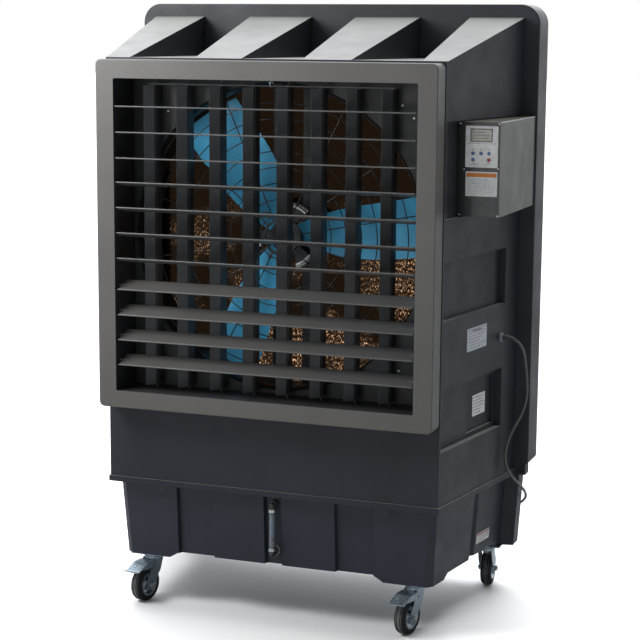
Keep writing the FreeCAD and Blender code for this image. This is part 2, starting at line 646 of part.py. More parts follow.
def control_plan(wall=0.0):
    front, rear = CONTROL_BACK
    depth = POCKETS[0][4]
    return inset([(wall_x(front) - depth, front), (CONTROL_X, front), (CONTROL_X, rear),
                  (wall_x(rear), rear), (wall_x(POCKETS[0][1]), POCKETS[0][1]),
                  (wall_x(POCKETS[0][1]) - depth, POCKETS[0][1])], wall)


def make_control_box():
    z0, z1 = CONTROL_Z
    case = prism(control_plan(), z0, z1).cut(prism(control_plan(2.5), z0 + 2.5, z1 - 2.5))
    front = CONTROL_BACK[0]
    mouth = box(wall_x(front) - POCKETS[0][4] + 6, CONTROL_X - 6, front - 1, front + 4, z0 + 6, z1 - 6)
    case = case.cut(mouth)
    left = wall_x(front) - POCKETS[0][4] + 2
    plate = box(left, CONTROL_X, front - PANEL_THICK, front, z0, z1)
    wells = []
    for _, across, up in BUTTONS:
        x, z = CONTROL_X + across, z0 + up
        wells.append(rod(at(x, front - PANEL_THICK - 1, z), at(x, front + 1, z), BUTTON_R + 0.3))
    return [case, plate.cut(Part.makeCompound(wells))]


def make_button(across, up):
    front = CONTROL_BACK[0]
    x, z = CONTROL_X + across, CONTROL_Z[0] + up
    cap = rod(at(x, front - PANEL_THICK - 1.2, z), at(x, front - 1.4, z), BUTTON_R)
    foot = rod(at(x, front + 0.4, z), at(x, front + 1.6, z), BUTTON_R + 1.5)
    return fuse([cap, rod(at(x, front - 1.4, z), at(x, front + 0.4, z), BUTTON_R), foot])


# ---- castors ------------------------------------------------------------------------------------------
TRAIL = 40.0
CASTOR_PLATE = (100.0, 80.0, 4.0)
CASTORS = (                   # name, x, distance back, way the wheel trails (degrees from straight ahead)
    ("front_left", -398.0, 160.0, -13.0, True),
    ("front_right", 398.0, 160.0, -13.0, True),
    ("rear_left", -485.0, 596.0, 176.0, False),
    ("rear_right", 485.0, 596.0, 184.0, False),
)
LEG_X = 18.5
PEDAL_PIVOT = (-16.0, 106.0)


def castor_local(shape, x, back, turn):
    """Places a castor piece that was made round the Z axis, with the wheel trailing towards -Y."""
    placed = shape.copy()
    placed.rotate(Vector(0, 0, 0), Vector(0, 0, 1), turn)
    placed.translate(at(x, back, 0))
    return placed


def make_castor_plates():
    plates = []
    for _, x, back, turn, _ in CASTORS:
        length, width, thick = CASTOR_PLATE
        plate = Part.makeBox(length, width, thick, at(x - length / 2, back - width / 2, FOOT_Z - thick))
        head = rod(at(x, back, FOOT_Z - thick), at(x, back, FOOT_Z - thick - 9), 23.0)
        pin = rod(at(x, back, FOOT_Z - thick - 9), at(x, back, 114), 6.0)
        nut = rod(at(x, back, 114), at(x, back, 109), 9.0)
        plates.append(fuse([plate, head, pin, nut]))
    return plates


def make_fork():
    crown_z = (118.0, 126.4)
    crown = rod(Vector(0, 0, crown_z[0]), Vector(0, 0, crown_z[1]), 24.0)
    crown = crown.cut(rod(Vector(0, 0, 100), Vector(0, 0, 130), 6.0 + FIT))
    legs = []
    for side in (-1, 1):
        outline = [Vector(0, -22, 122), Vector(0, 20, 122), Vector(0, 6, 84), Vector(0, -TRAIL + 13, 44),
                   Vector(0, -TRAIL - 13, 44), Vector(0, -TRAIL - 13, 62)]
        leg = face_of(outline).extrude(Vector(3, 0, 0))
        leg.translate(Vector(LEG_X - 0.5 if side > 0 else -LEG_X - 2.5, 0, 0))
        legs.append(leg)
    bridge = Part.makeBox(2 * LEG_X + 2, 30, 3, Vector(-LEG_X - 1, -18, 118))
    fork = fuse([crown, bridge] + legs).cut(rod(Vector(0, 0, 100), Vector(0, 0, 130), 6.0 + FIT))
    y0, z0 = PEDAL_PIVOT
    fork = fork.cut(rod(Vector(-30, y0, z0), Vector(30, y0, z0), 3.0 + FIT))
    axle = rod(Vector(-27, -TRAIL, WHEEL_R), Vector(27, -TRAIL, WHEEL_R), 5.0)
    heads = [rod(Vector(s * 21.2, -TRAIL, WHEEL_R), Vector(s * 26.5, -TRAIL, WHEEL_R), 8.5) for s in (-1, 1)]
    return fuse([fork, axle] + heads)


def make_wheel():
    width = 32.0
    middle = Vector(0, -TRAIL, WHEEL_R)

    def ring(x0, x1, outer, inner):
        return tube(middle + Vector(x0, 0, 0), middle + Vector(x1, 0, 0), outer, inner)

    tread = ring(-width / 2, width / 2, WHEEL_R, 33.0)
    edges = [e for e in tread.Edges if abs(e.BoundBox.ZLength - 2 * WHEEL_R) < 0.1 and e.BoundBox.XLength < 0.1]
    tyre = tread.makeFillet(5.0, edges)
    rim = fuse([ring(-3, 3, 33.0, 12.0), ring(-width / 2 + 2, width / 2 - 2, 33.0, 29.5),
                ring(-width / 2 - 0.6, width / 2 + 0.6, 13.0, 5.0 + FIT)])
    return [tyre, rim]


def make_pedal():
    """A pressed brake pedal on its pin, with side cheeks outside the fork."""
    y0, z0 = PEDAL_PIVOT
    top = [Vector(0, -27, 115), Vector(0, -60, 113), Vector(0, -98, 96), Vector(0, -108, 99),
           Vector(0, -108, 101.5), Vector(0, -98, 98.8), Vector(0, -60, 115.8), Vector(0, -27, 117.5)]
    plate = face_of(top).extrude(Vector(48, 0, 0))
    plate.translate(Vector(-24, 0, 0))
    cheeks = []
    for x in (-24.0, 21.8):
        cheek = face_of([Vector(x, -9, 112), Vector(x, -27, 117), Vector(x, -60, 115), Vector(x, -88, 102),
                         Vector(x, -56, 99), Vector(x, -10, 98)]).extrude(Vector(2.2, 0, 0))
        cheeks.append(cheek)
    pin = rod(Vector(-25.5, y0, z0), Vector(25.5, y0, z0), 3.0)
    return fuse([plate, pin] + cheeks)


# ---- supply cord --------------------------------------------------------------------------------------
CORD_R = 4.0
GLAND = (wall_x(450.0), 450.0, 786.0)
CORD_ROUTE = (                # x, distance back, height: gland, S-bend beside the frame, down behind the tank
    (566, 450, 786), (578, 451, 785), (590, 453, 780.5), (601, 457, 772), (609, 462.5, 759), (614, 469, 742),
    (616, 477, 720), (617.5, 486, 692), (618.5, 495, 660), (618.5, 503, 625), (614, 508, 590), (603, 509, 556),
    (587, 502, 523), (573, 488, 490), (566, 473, 455), (567, 470, 419), (575, 489, 385), (585, 521, 357),
    (593, 562, 330), (595, 605, 305), (591, 645, 280), (577, 676, 257), (552, 697, 236), (521, 708, 212),
    (488, 713, 184), (455, 716, 155), (422, 718, 124), (389, 719, 92), (355, 720, 61), (320, 723, 34),
    (284, 728, 13), (249, 734, 4.3), (214, 743, 4.2), (182, 752, 4.2),
)
COIL_R = 44.0                 # middle of the turns
COIL_HALF = 12.0
COIL_HEIGHT = 24.0


def make_cord():
    """The cord as straight runs joined by tangent arcs; returns its solid and its length."""
    points = [at(*p) for p in CORD_ROUTE]
    edges = []
    start = points[0]
    tightest = 1e9
    for before, here, after in zip(points, points[1:], points[2:]):
        into = (here - before).normalize()
        out = (after - here).normalize()
        shorter = min((here - before).Length, (after - here).Length)
        half_turn = into.getAngle(out) / 2
        reach = 0.45 * shorter
        radius = reach / math.tan(half_turn)
        tightest = min(tightest, radius)
        first, last = here - into * reach, here + out * reach
        towards = (out - into).normalize()
        middle = here + towards * (radius / math.cos(half_turn) - radius)
        edges.append(Part.LineSegment(start, first).toShape())
        edges.append(Part.Arc(first, middle, last).toShape())
        start = last
        print("cord point x %.0f radius %.0f turn %.0f" % (here.x, radius, math.degrees(2 * half_turn)))
    edges.append(Part.LineSegment(start, points[-1]).toShape())
    path = Part.Wire(edges)
    way = (points[1] - points[0]).normalize()
    section = Part.Wire(Part.makeCircle(CORD_R, points[0], way))
    solid = path.makePipeShell([section], True, False)
    length = path.Length
    print("cord length %.0f volume ratio %.4f tightest %.0f" % (
        length, solid.Volume / (math.pi * CORD_R ** 2 * length), tightest))
    return solid


def coil_centre():
    """The cord runs on to the coil's rim along its last run."""
    end, before = at(*CORD_ROUTE[-1]), at(*CORD_ROUTE[-2])
    way = (end - before).normalize()
    side = Vector(-way.y, way.x, 0) * -1
    return Vector(end.x, end.y, 0) + way * 2 + side * (COIL_R + COIL_HALF * 0.4)


def make_coil():
    centre = coil_centre()
    outer = Part.makeCylinder(COIL_R + COIL_HALF, COIL_HEIGHT, centre + Vector(0, 0, 0.2))
    hole = Part.makeCylinder(COIL_R - COIL_HALF, COIL_HEIGHT + 2, centre)
    return outer.cut(hole)


def make_gland():
    x, back, z = GLAND
    seat = wall_x(back)
    nut = rod(at(seat - 0.5, back, z), at(seat + 7, back, z), 12.5)
    stem = rod(at(seat - 16, back, z), at(seat + 1, back, z), 8.0)
    lock = rod(at(seat - 12, back, z), at(seat - 5, back, z), 12.0)
    relief = Part.makeCone(9.5, 5.2, CORD_ROUTE[0][0] - seat - 5, at(seat + 5, back, z), Vector(1, 0, 0))
    return fuse([nut, stem, lock, relief])


def make_plug():
    """A round-bodied mains plug lying beside the coil, with two pins."""
    centre = coil_centre() + Vector(-COIL_R - COIL_HALF - 34, 10, 0)
    z = 16.4
    start = centre + Vector(0, -26, z)
    body = Part.makeCylinder(16, 34, start + Vector(0, 16, 0), Vector(0, 1, 0))
    neck = Part.makeCone(6, 16, 16, start, Vector(0, 1, 0))
    pins = [Part.makeCylinder(2.4, 19, start + Vector(dx, 50, 0), Vector(0, 1, 0)) for dx in (-9.5, 9.5)]
    return fuse([body, neck] + pins)


# ---- build --------------------------------------------------------------------------------------------
def main():
    export("water_tank", make_tank())
    export_group("water_fittings", [make_inlet(), make_drain()])
    export("float_valve_arm", make_float_arm())
    export("body_shell", make_body())
    export("front_bezel", make_bezel())
    export("outlet_duct", make_grille_frame())
    for i in range(LOUVRE_COUNT):
        export("louvre_%02d" % (i + 1), make_louvre(i))
    for i in range(VANE_COUNT):
        export("vane_%d" % (i + 1), make_vane(i))
    export("tie_bar", make_tie_bar())
    export("swing_crank", make_crank())
    export("swing_motor", make_swing_motor())
    export_group("fan_shroud", make_shroud())
    export("fan_guard", make_guard())
    export_group("fan_impeller", make_impeller())
    export("fan_motor", make_motor())
    export("rear_frame", make_rear_frame())
    export("cooling_pad", make_pad())
    export("rear_grille", make_rear_grille())
    export("water_pump", make_pump())
    export("water_pipework", make_pipework())
    export_group("level_gauge", make_gauge())
    export("gauge_float", make_gauge_float())
    export_group("control_box", make_control_box())
    for name, across, up in BUTTONS:
        export(name, make_button(across, up))
    export_group("castor_plates", make_castor_plates())
    fork, wheel, pedal = make_fork(), make_wheel(), make_pedal()
    for name, x, back, turn, braked in CASTORS:
        export("fork_" + name, castor_local(fork, x, back, turn))
        export_group("wheel_" + name, [castor_local(piece, x, back, turn) for piece in wheel])
        if braked:
            export("pedal_" + name, castor_local(pedal, x, back, turn))
    export("cord_gland", make_gland())
    export("power_cord", make_cord())
    export("cord_coil", make_coil())
    export("cord_plug", make_plug())


main()
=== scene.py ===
"""Looks of a portable evaporative cooler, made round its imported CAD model.

Places are given in millimetres from the bezel's face and become metres in at().
"""
import json
import math
import random

import bmesh
import bpy
from mathutils import Matrix, Vector
from mathutils.bvhtree import BVHTree


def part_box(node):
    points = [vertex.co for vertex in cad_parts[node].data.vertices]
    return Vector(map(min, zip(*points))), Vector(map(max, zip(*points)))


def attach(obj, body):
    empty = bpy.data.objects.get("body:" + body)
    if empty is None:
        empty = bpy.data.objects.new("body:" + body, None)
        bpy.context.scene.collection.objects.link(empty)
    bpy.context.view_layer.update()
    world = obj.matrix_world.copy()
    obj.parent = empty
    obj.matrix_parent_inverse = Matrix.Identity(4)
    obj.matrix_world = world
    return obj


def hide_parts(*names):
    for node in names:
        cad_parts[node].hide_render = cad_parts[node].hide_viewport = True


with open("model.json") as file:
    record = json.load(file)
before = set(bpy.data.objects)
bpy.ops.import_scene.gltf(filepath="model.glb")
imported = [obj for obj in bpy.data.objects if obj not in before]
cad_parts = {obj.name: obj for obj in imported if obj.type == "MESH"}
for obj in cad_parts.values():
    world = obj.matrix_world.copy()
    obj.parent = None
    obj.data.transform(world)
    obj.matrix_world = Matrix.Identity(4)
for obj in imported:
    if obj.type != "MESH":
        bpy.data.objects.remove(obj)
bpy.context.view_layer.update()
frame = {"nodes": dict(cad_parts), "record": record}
random.seed(7)

MM = 0.001
FACE_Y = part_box("front_bezel")[0].y      # y of the bezel's face
BODY = "cooler"


def at(x, back, z):
    """A point in metres from millimetres: x, distance behind the bezel's face, height."""
    return Vector((x * MM, FACE_Y + back * MM, z * MM))


# ---- camera -------------------------------------------------------------------------------------------
CAMERA_AT = Vector((1.7395, -4.6202, 1.6277))
YAW, PITCH, ROLL = math.radians(20.14), math.radians(9.34), math.radians(0.44)
LENS = 97.968


def make_camera():
    data = bpy.data.cameras.new("camera")
    data.lens = LENS
    data.sensor_width = 36
    data.clip_end = 100
    camera = bpy.data.objects.new("camera", data)
    bpy.context.scene.collection.objects.link(camera)
    ahead = Vector((-math.sin(YAW) * math.cos(PITCH), math.cos(YAW) * math.cos(PITCH), -math.sin(PITCH)))
    right = Vector((math.cos(YAW), math.sin(YAW), 0))
    up = right.cross(ahead)
    right, up = (right * math.cos(ROLL) + up * math.sin(ROLL), up * math.cos(ROLL) - right * math.sin(ROLL))
    camera.matrix_world = Matrix.Translation(CAMERA_AT) @ Matrix((right, up, -ahead)).transposed().to_4x4()
    bpy.context.scene.camera = camera


make_camera()


# ---- materials ----------------------------------------------------------------------------------------
class Shader:
    """A node material with its Principled shader, and short calls that add texture nodes to it."""

    def __init__(self, name, color, rough, metal=0.0, specular=0.5, coat=0.0):
        self.material = bpy.data.materials.new(name)
        self.material.use_nodes = True
        self.tree = self.material.node_tree
        self.main = self.tree.nodes["Principled BSDF"]
        self.color = tuple(color) + (1.0,)
        self.rough = rough
        self.main.inputs["Base Color"].default_value = self.color
        self.main.inputs["Roughness"].default_value = rough
        self.main.inputs["Metallic"].default_value = metal
        self.main.inputs["Specular IOR Level"].default_value = specular
        self.main.inputs["Coat Weight"].default_value = coat
        self.main.inputs["Coat Roughness"].default_value = 0.12
        self.material.diffuse_color = self.color
        self.place = self.tree.nodes.new("ShaderNodeTexCoord").outputs["Object"]

    def add(self, kind, links=(), **values):
        node = self.tree.nodes.new("ShaderNode" + kind)
        for key, value in values.items():
            if key in node.inputs:
                node.inputs[key].default_value = value
            else:
                setattr(node, key, value)
        for socket, source in links:
            self.tree.links.new(source, node.inputs[socket])
        return node

    def noise(self, scale, detail=2.0, place=None, rough=0.5):
        node = self.add("TexNoise", [("Vector", place or self.place)], Scale=scale, Detail=detail,
                        Roughness=rough)
        return node.outputs["Fac"]

    def stretched(self, sx, sy, sz):
        node = self.add("Mapping", [("Vector", self.place)])
        node.inputs["Scale"].default_value = (sx, sy, sz)
        return node.outputs["Vector"]

    def math(self, operation, a, b=0.0, clamp=False):
        node = self.add("Math", operation=operation, use_clamp=clamp)
        for i, value in enumerate((a, b)):
            if isinstance(value, bpy.types.NodeSocket):
                self.tree.links.new(value, node.inputs[i])
            else:
                node.inputs[i].default_value = value
        return node.outputs[0]

    def span(self, source, low, high, to_low=0.0, to_high=1.0):
        node = self.add("MapRange", [("Value", source)])
        for key, value in (("From Min", low), ("From Max", high), ("To Min", to_low), ("To Max", to_high)):
            node.inputs[key].default_value = value
        return node.outputs["Result"]

    def mix(self, fac, a, b):
        node = self.add("Mix", data_type="RGBA")
        self.tree.links.new(fac, node.inputs["Factor"])
        for socket, value in ((6, a), (7, b)):
            if isinstance(value, bpy.types.NodeSocket):
                self.tree.links.new(value, node.inputs[socket])
            else:
                node.inputs[socket].default_value = tuple(value) + (1.0,)
        return node.outputs[2]

    def set(self, socket, source):
        self.tree.links.new(source, self.main.inputs[socket])

    def bump(self, *layers):
        """layers are (height output, distance in metres, strength); each is laid on the one before."""
        last = None
        for height, distance, strength in layers:
            links = [("Height", height)] + ([("Normal", last)] if last else [])
            last = self.add("Bump", links, Distance=distance, Strength=strength).outputs["Normal"]
        self.set("Normal", last)


def shade(color, factor):
    return tuple(c * factor for c in color)


def moulded(name, color, rough=0.5, blotch=0.18, specular=0.5, dust_and_sheen=0.0):
    """Moulded plastic: spark-eroded grain, slow flow marks, colour a little uneven, dust and a painted sheen on
    flat tops.
    """
    s = Shader(name, color, rough, specular=specular)
    slow = s.noise(3.2, 3.0)
    streak = s.noise(9.0, 4.0, s.stretched(1.0, 1.0, 0.22))
    blend = s.math("ADD", s.math("MULTIPLY", slow, 0.6), s.math("MULTIPLY", streak, 0.4))
    tone = s.mix(s.span(blend, 0.35, 0.65), shade(color, 1 - blotch), shade(color, 1 + blotch))
    if dust_and_sheen:
        # dust and painted sheen: faces that look up are mixed towards pale grey, for dust and for the bright
        # reflection that tops catch
        up = s.add("SeparateXYZ", [("Vector", s.add("NewGeometry").outputs["Normal"])]).outputs["Z"]
        dust_and_sheen_mask = s.math("MULTIPLY", s.span(up, 0.55, 0.95),
                        s.span(s.noise(5.0, 2.0), 0.3, 0.7, 0.75 * dust_and_sheen, dust_and_sheen))
        tone = s.mix(dust_and_sheen_mask, tone, (0.42, 0.42, 0.40))
    s.set("Base Color", tone)
    fine = s.noise(1500.0, 1.0)
    s.set("Roughness", s.span(s.noise(14.0, 4.0), 0.3, 0.7, rough - 0.06, rough + 0.07))
    s.bump((s.noise(11.0, 2.0), 0.0012, 0.12), (fine, 0.00012, 0.35))
    return s.material


def plated(name, color, rough=0.32, spots=0.25):
    """Zinc plate or bare steel: faint crystals, duller patches, fine rolling marks."""
    s = Shader(name, color, rough, metal=1.0)
    cells = s.add("TexVoronoi", [("Vector", s.place)], Scale=420.0).outputs["Color"]
    crystal = s.add("SeparateColor", [("Color", cells)]).outputs[0]
    patch = s.noise(70.0, 5.0)
    blend = s.math("ADD", s.math("MULTIPLY", crystal, 0.4), s.math("MULTIPLY", patch, 0.6))
    s.set("Base Color", s.mix(s.span(blend, 0.3, 0.7), shade(color, 1 - spots), shade(color, 1.06)))
    s.set("Roughness", s.span(patch, 0.3, 0.7, rough - 0.07, rough + 0.14))
    s.bump((s.noise(900.0, 2.0), 0.00005, 0.3))
    return s.material


def rubber(name, color, rough=0.72):
    s = Shader(name, color, rough, specular=0.35)
    worn = s.noise(38.0, 5.0)
    s.set("Base Color", s.mix(s.span(worn, 0.35, 0.75), color, shade(color, 2.3)))
    s.set("Roughness", s.span(worn, 0.3, 0.7, rough - 0.08, rough + 0.1))
    s.bump((s.noise(1400.0, 2.0), 0.0001, 0.4))
    return s.material


def coated_wire(name, color):
    s = Shader(name, color, 0.38, coat=0.3)
    s.set("Base Color", s.mix(s.span(s.noise(60.0, 3.0), 0.4, 0.75), color, shade(color, 2.4)))
    s.bump((s.noise(700.0, 2.0), 0.0001, 0.3))
    return s.material


def cellulose():
    """Resin-soaked corrugated paper: brown, with a painted shade inside, pale specks painted as glints, painted
    glints that glow on its front and a faint painted glow all over.
    """
    s = Shader("pad_paper", (0.19, 0.080, 0.034), 0.78, specular=0.3)
    parts = s.add("SeparateXYZ", [("Vector", s.place)]).outputs
    front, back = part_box("cooling_pad")[0].y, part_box("cooling_pad")[1].y
    painted_depth_shade = s.math("MULTIPLY", s.span(parts["Y"], front, front + 0.02),
                    s.span(parts["Y"], back, back - 0.02))
    fibre = s.noise(160.0, 4.0, s.stretched(1.0, 1.0, 0.3))
    tone = s.mix(s.span(fibre, 0.42, 0.78), (0.048, 0.019, 0.014), (0.36, 0.12, 0.075))
    # pale amber specks: painted glints
    tone = s.mix(s.span(s.noise(210.0, 2.0), 0.62, 0.70), tone, (0.80, 0.46, 0.24))
    # painted shade: the paper away from the front and back faces is dark
    s.set("Base Color", s.mix(painted_depth_shade, tone, (0.06, 0.025, 0.012)))
    glint_spots = s.span(s.noise(260.0, 1.0, s.stretched(1.0, 1.0, 0.40)), 0.60, 0.68)
    patch = s.span(s.noise(7.0, 3.0), 0.46, 0.60)
    low = s.span(parts["Z"], 1.15, 0.98)
    glint = s.math("MULTIPLY", s.math("MULTIPLY", glint_spots, patch), s.span(parts["Y"], front + 0.02, front))
    # painted glints: an amber glow in spots on the front, mostly low down, over a faint painted glow of the
    # whole pad
    s.main.inputs["Emission Color"].default_value = (1.0, 0.62, 0.34, 1.0)
    s.set("Emission Strength",
          s.math("ADD", s.math("MULTIPLY", s.math("MULTIPLY", glint, low), 2.4), 0.010))
    s.bump((s.noise(520.0, 3.0), 0.0003, 0.5))
    return s.material


def clear_tube():
    s = Shader("gauge_acrylic", (0.40, 0.48, 0.54), 0.12, coat=0.4)
    s.main.inputs["Transmission Weight"].default_value = 0.65
    s.main.inputs["IOR"].default_value = 1.35
    s.main.inputs["Alpha"].default_value = 0.75
    s.set("Roughness", s.span(s.noise(90.0, 3.0, s.stretched(1, 1, 0.2)), 0.3, 0.7, 0.06, 0.22))
    return s.material


def blade_nylon():
    """Bright blue fan blades with a black bolted hub, told apart by distance from the axle, with a painted
    glow.
    """
    blue = (0.085, 0.46, 0.76)
    s = Shader("blade_nylon", blue, 0.33, coat=0.25)
    parts = s.add("SeparateXYZ", [("Vector", s.place)]).outputs
    height = s.math("SUBTRACT", parts["Z"], FAN_Z * MM)
    square = s.math("ADD", s.math("MULTIPLY", parts["X"], parts["X"]), s.math("MULTIPLY", height, height))
    radius = s.math("SQRT", square)
    flow = s.noise(7.0, 4.0)
    tone = s.mix(s.span(flow, 0.3, 0.7), shade(blue, 0.82), shade(blue, 1.2))
    tone = s.mix(s.span(radius, 0.385, 0.41), tone, shade(blue, 0.6))
    hub = s.span(radius, 0.0448, 0.0456, 1.0, 0.0)
    s.set("Base Color", s.mix(hub, tone, (0.018, 0.018, 0.02)))
    # painted glow: the blades give off blue light that grows from the hub outwards
    s.main.inputs["Emission Color"].default_value = (0.11, 0.50, 0.80, 1.0)
    s.set("Emission Strength", s.span(radius, 0.08, 0.30, 0.0, 0.11))
    s.set("Roughness", s.span(s.noise(30.0, 4.0), 0.3, 0.7, 0.26, 0.42))
    s.bump((s.noise(900.0, 1.0), 0.0001, 0.25))
    return s.material


def paper_label(name, color, fleck):
    s = Shader(name, color, 0.42, coat=0.1)
    s.set("Base Color", s.mix(s.span(s.noise(120.0, 4.0), 0.45, 0.8), color, fleck))
    s.bump((s.noise(60.0, 3.0), 0.0002, 0.15))
    return s.material


def plain(name, color, rough=0.45, metal=0.0, coat=0.0):
    """Small parts: an even finish with slight mottling and fine grain."""
    s = Shader(name, color, rough, metal=metal, coat=coat)
    s.set("Base Color", s.mix(s.span(s.noise(55.0, 4.0), 0.3, 0.7), shade(color, 0.85), shade(color, 1.12)))
    s.set("Roughness", s.span(s.noise(80.0, 3.0), 0.3, 0.7, rough - 0.05, rough + 0.08))
    s.bump((s.noise(800.0, 2.0), 0.00008, 0.3))
    return s.material


FAN_Z = 1075.0                # height of the fan's axle
MAT = {
    # the housing's tops are lightened by dust and a painted sheen
    "housing_plastic": moulded("housing_polyethylene", (0.0255, 0.0262, 0.0345), 0.47, specular=0.30,
                               dust_and_sheen=0.55),
    "tank_plastic": moulded("tank_polyethylene", (0.016, 0.021, 0.033), 0.50),
    "bezel_plastic": moulded("bezel_abs", (0.100, 0.096, 0.090), 0.46, blotch=0.06),
    "duct_plastic": moulded("duct_plastic", (0.027, 0.027, 0.029), 0.5),
    "louvre_plastic": moulded("louvre_plastic", (0.086, 0.084, 0.082), 0.38, blotch=0.08),
    "vane_plastic": moulded("vane_plastic", (0.070, 0.070, 0.072), 0.45, blotch=0.08),
    "shroud_plastic": moulded("shroud_plastic", (0.016, 0.016, 0.017), 0.42),
    "wire_steel": coated_wire("guard_coating", (0.020, 0.020, 0.022)),
    "fan_blue": blade_nylon(),
    "motor_paint": plain("motor_enamel", (0.022, 0.022, 0.025), 0.4, coat=0.3),
    "dark_steel": plain("dark_enamel", (0.028, 0.028, 0.030), 0.42, coat=0.3),
    "zinc_steel": plated("zinc_plate", (0.42, 0.49, 0.55)),
    "brass_fitting": plated("turned_brass", (0.62, 0.42, 0.16), 0.28),
    "white_plastic": moulded("white_pvc", (0.62, 0.62, 0.60), 0.4, blotch=0.05),
    "pad_cellulose": cellulose(),
    "gauge_clear": clear_tube(),
    "float_red": plain("float_red", (0.55, 0.02, 0.02), 0.3, coat=0.5),
    "box_plastic": moulded("box_enamel", (0.088, 0.084, 0.072), 0.45, blotch=0.08, specular=0.4),
    "gland_plastic": plain("gland_nylon", (0.040, 0.040, 0.043), 0.45),
    "cord_pvc": plain("cord_sheath", (0.090, 0.090, 0.096), 0.42),
    "button_blue": plain("key_blue", (0.10, 0.17, 0.34), 0.4),
    "button_red": plain("key_red", (0.40, 0.05, 0.04), 0.4),
    "tyre_rubber": rubber("tyre_rubber", (0.012, 0.012, 0.013)),
}
EXTRA = {
    "membrane": plain("key_membrane", (0.82, 0.82, 0.80), 0.35, coat=0.2),
    "panel_black": plain("panel_black", (0.010, 0.010, 0.011), 0.35, coat=0.25),
    "display": plain("display_glass", (0.34, 0.31, 0.24), 0.15, coat=0.8),
    "ink": plain("label_ink", (0.05, 0.05, 0.055), 0.5),
    "ink_pale": plain("label_ink_pale", (0.28, 0.28, 0.30), 0.5),
    # the dark sheet in the pad's middle: painted shade
    "pad_shade_sheet": plain("pad_shade_sheet_paper", (0.040, 0.016, 0.011), 0.8),
    "ink_faint": plain("label_ink_faint", (0.56, 0.56, 0.58), 0.5),
    "gland_grey": plain("gland_nut", (0.26, 0.27, 0.29), 0.4),
    "orange": plain("label_orange", (0.75, 0.22, 0.03), 0.45),
    "maroon": plain("label_maroon", (0.30, 0.012, 0.03), 0.45),
    "label_white": paper_label("label_white", (0.82, 0.82, 0.80), (0.62, 0.62, 0.62)),
    "label_silver": paper_label("label_silver", (0.50, 0.53, 0.57), (0.36, 0.38, 0.42)),
    "screw_steel": plated("screw_steel", (0.60, 0.60, 0.60), 0.25),
    "groove_grey": rubber("tyre_worn_groove", (0.10, 0.10, 0.10)),
}


def paint(obj, material):
    slots = obj.data.materials
    if len(slots):
        for i in range(len(slots)):
            slots[i] = material
    else:
        slots.append(material)
    return obj


for subpart in frame["record"]["subparts"]:
    paint(frame["nodes"][subpart["node"]], MAT[subpart["material_slot"]])
paint(frame["nodes"]["cord_gland"], EXTRA["gland_grey"])


# ---- mesh helpers -------------------------------------------------------------------------------------
def finish_mesh(mesh, sharp=32.0):
    mesh.shade_smooth()
    mesh.set_sharp_from_angle(angle=math.radians(sharp))


def piece(name, verts, faces, material, slot, body=BODY, bevel=0.0, replaces=(), sharp=32.0):
    """A mesh that rides on a body and takes the given material; its slot argument is not used."""
    mesh = bpy.data.meshes.new(name)
    mesh.from_pydata([tuple(v) for v in verts], [], faces)
    clean = bmesh.new()
    clean.from_mesh(mesh)
    bmesh.ops.remove_doubles(clean, verts=clean.verts, dist=1e-6)
    bmesh.ops.recalc_face_normals(clean, faces=clean.faces)
    clean.to_mesh(mesh)
    clean.free()
    obj = bpy.data.objects.new(name, mesh)
    bpy.context.scene.collection.objects.link(obj)
    finish_mesh(mesh, sharp)
    mesh.materials.append(material)
    if bevel:
        round_edges(obj, bevel)
    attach(obj, body)
    if replaces:
        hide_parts(*replaces)
    return obj


def round_edges(obj, width, segments=2):
    bevel = obj.modifiers.new("rounding", "BEVEL")
    bevel.width = width
    bevel.segments = segments
    bevel.limit_method = "ANGLE"
    bevel.angle_limit = math.radians(35.0)
    bevel.harden_normals = True


def block(name, low, high, material, slot, body=BODY, bevel=0.0006, **more):
    x0, y0, z0 = low
    x1, y1, z1 = high
    verts = [(x, y, z) for x in (x0, x1) for y in (y0, y1) for z in (z0, z1)]
    faces = [(0, 1, 3, 2), (4, 6, 7, 5), (0, 4, 5, 1), (2, 3, 7, 6), (0, 2, 6, 4), (1, 5, 7, 3)]
    return piece(name, verts, faces, material, slot, body, bevel, **more)


def axes_of(direction):
    w = Vector(direction).normalized()
    u = Vector((0, 0, 1)).cross(w)
    if u.length < 1e-4:
        u = Vector((1, 0, 0))
    u.normalize()
    return u, w.cross(u), w


def lathe_data(profile, centre, direction, steps=48, closed=False):
    """Vertices and faces of a profile of (radius, along), in metres, turned round an axis."""
    u, v, w = axes_of(direction)
    verts, faces = [], []
    count = len(profile)
    for s in range(steps):
        turn = 2 * math.pi * s / steps
        out = u * math.cos(turn) + v * math.sin(turn)
        verts += [Vector(centre) + out * r + w * along for r, along in profile]
    for s in range(steps):
        following = (s + 1) % steps
        for i in range(count if closed else count - 1):
            j = (i + 1) % count
            faces.append((s * count + i, s * count + j, following * count + j, following * count + i))
    return verts, faces


def lathe(name, profile, centre, direction, material, slot, body=BODY, steps=48, closed=False, **more):
    verts, faces = lathe_data(profile, centre, direction, steps, closed)
    return piece(name, verts, faces, material, slot, body, **more)


def merged(parts):
    verts, faces = [], []
    for part_verts, part_faces in parts:
        base = len(verts)
        verts += part_verts
        faces += [tuple(i + base for i in face) for face in part_faces]
    return verts, faces


def slab_data(corners, normal, thick):
    """A flat plate from its outline, thickened along normal."""
    n = Vector(normal).normalized() * thick
    count = len(corners)
    verts = [Vector(c) for c in corners] + [Vector(c) + n for c in corners]
    faces = [tuple(range(count - 1, -1, -1)), tuple(range(count, 2 * count))]
    faces += [(i, (i + 1) % count, count + (i + 1) % count, count + i) for i in range(count)]
    return verts, faces


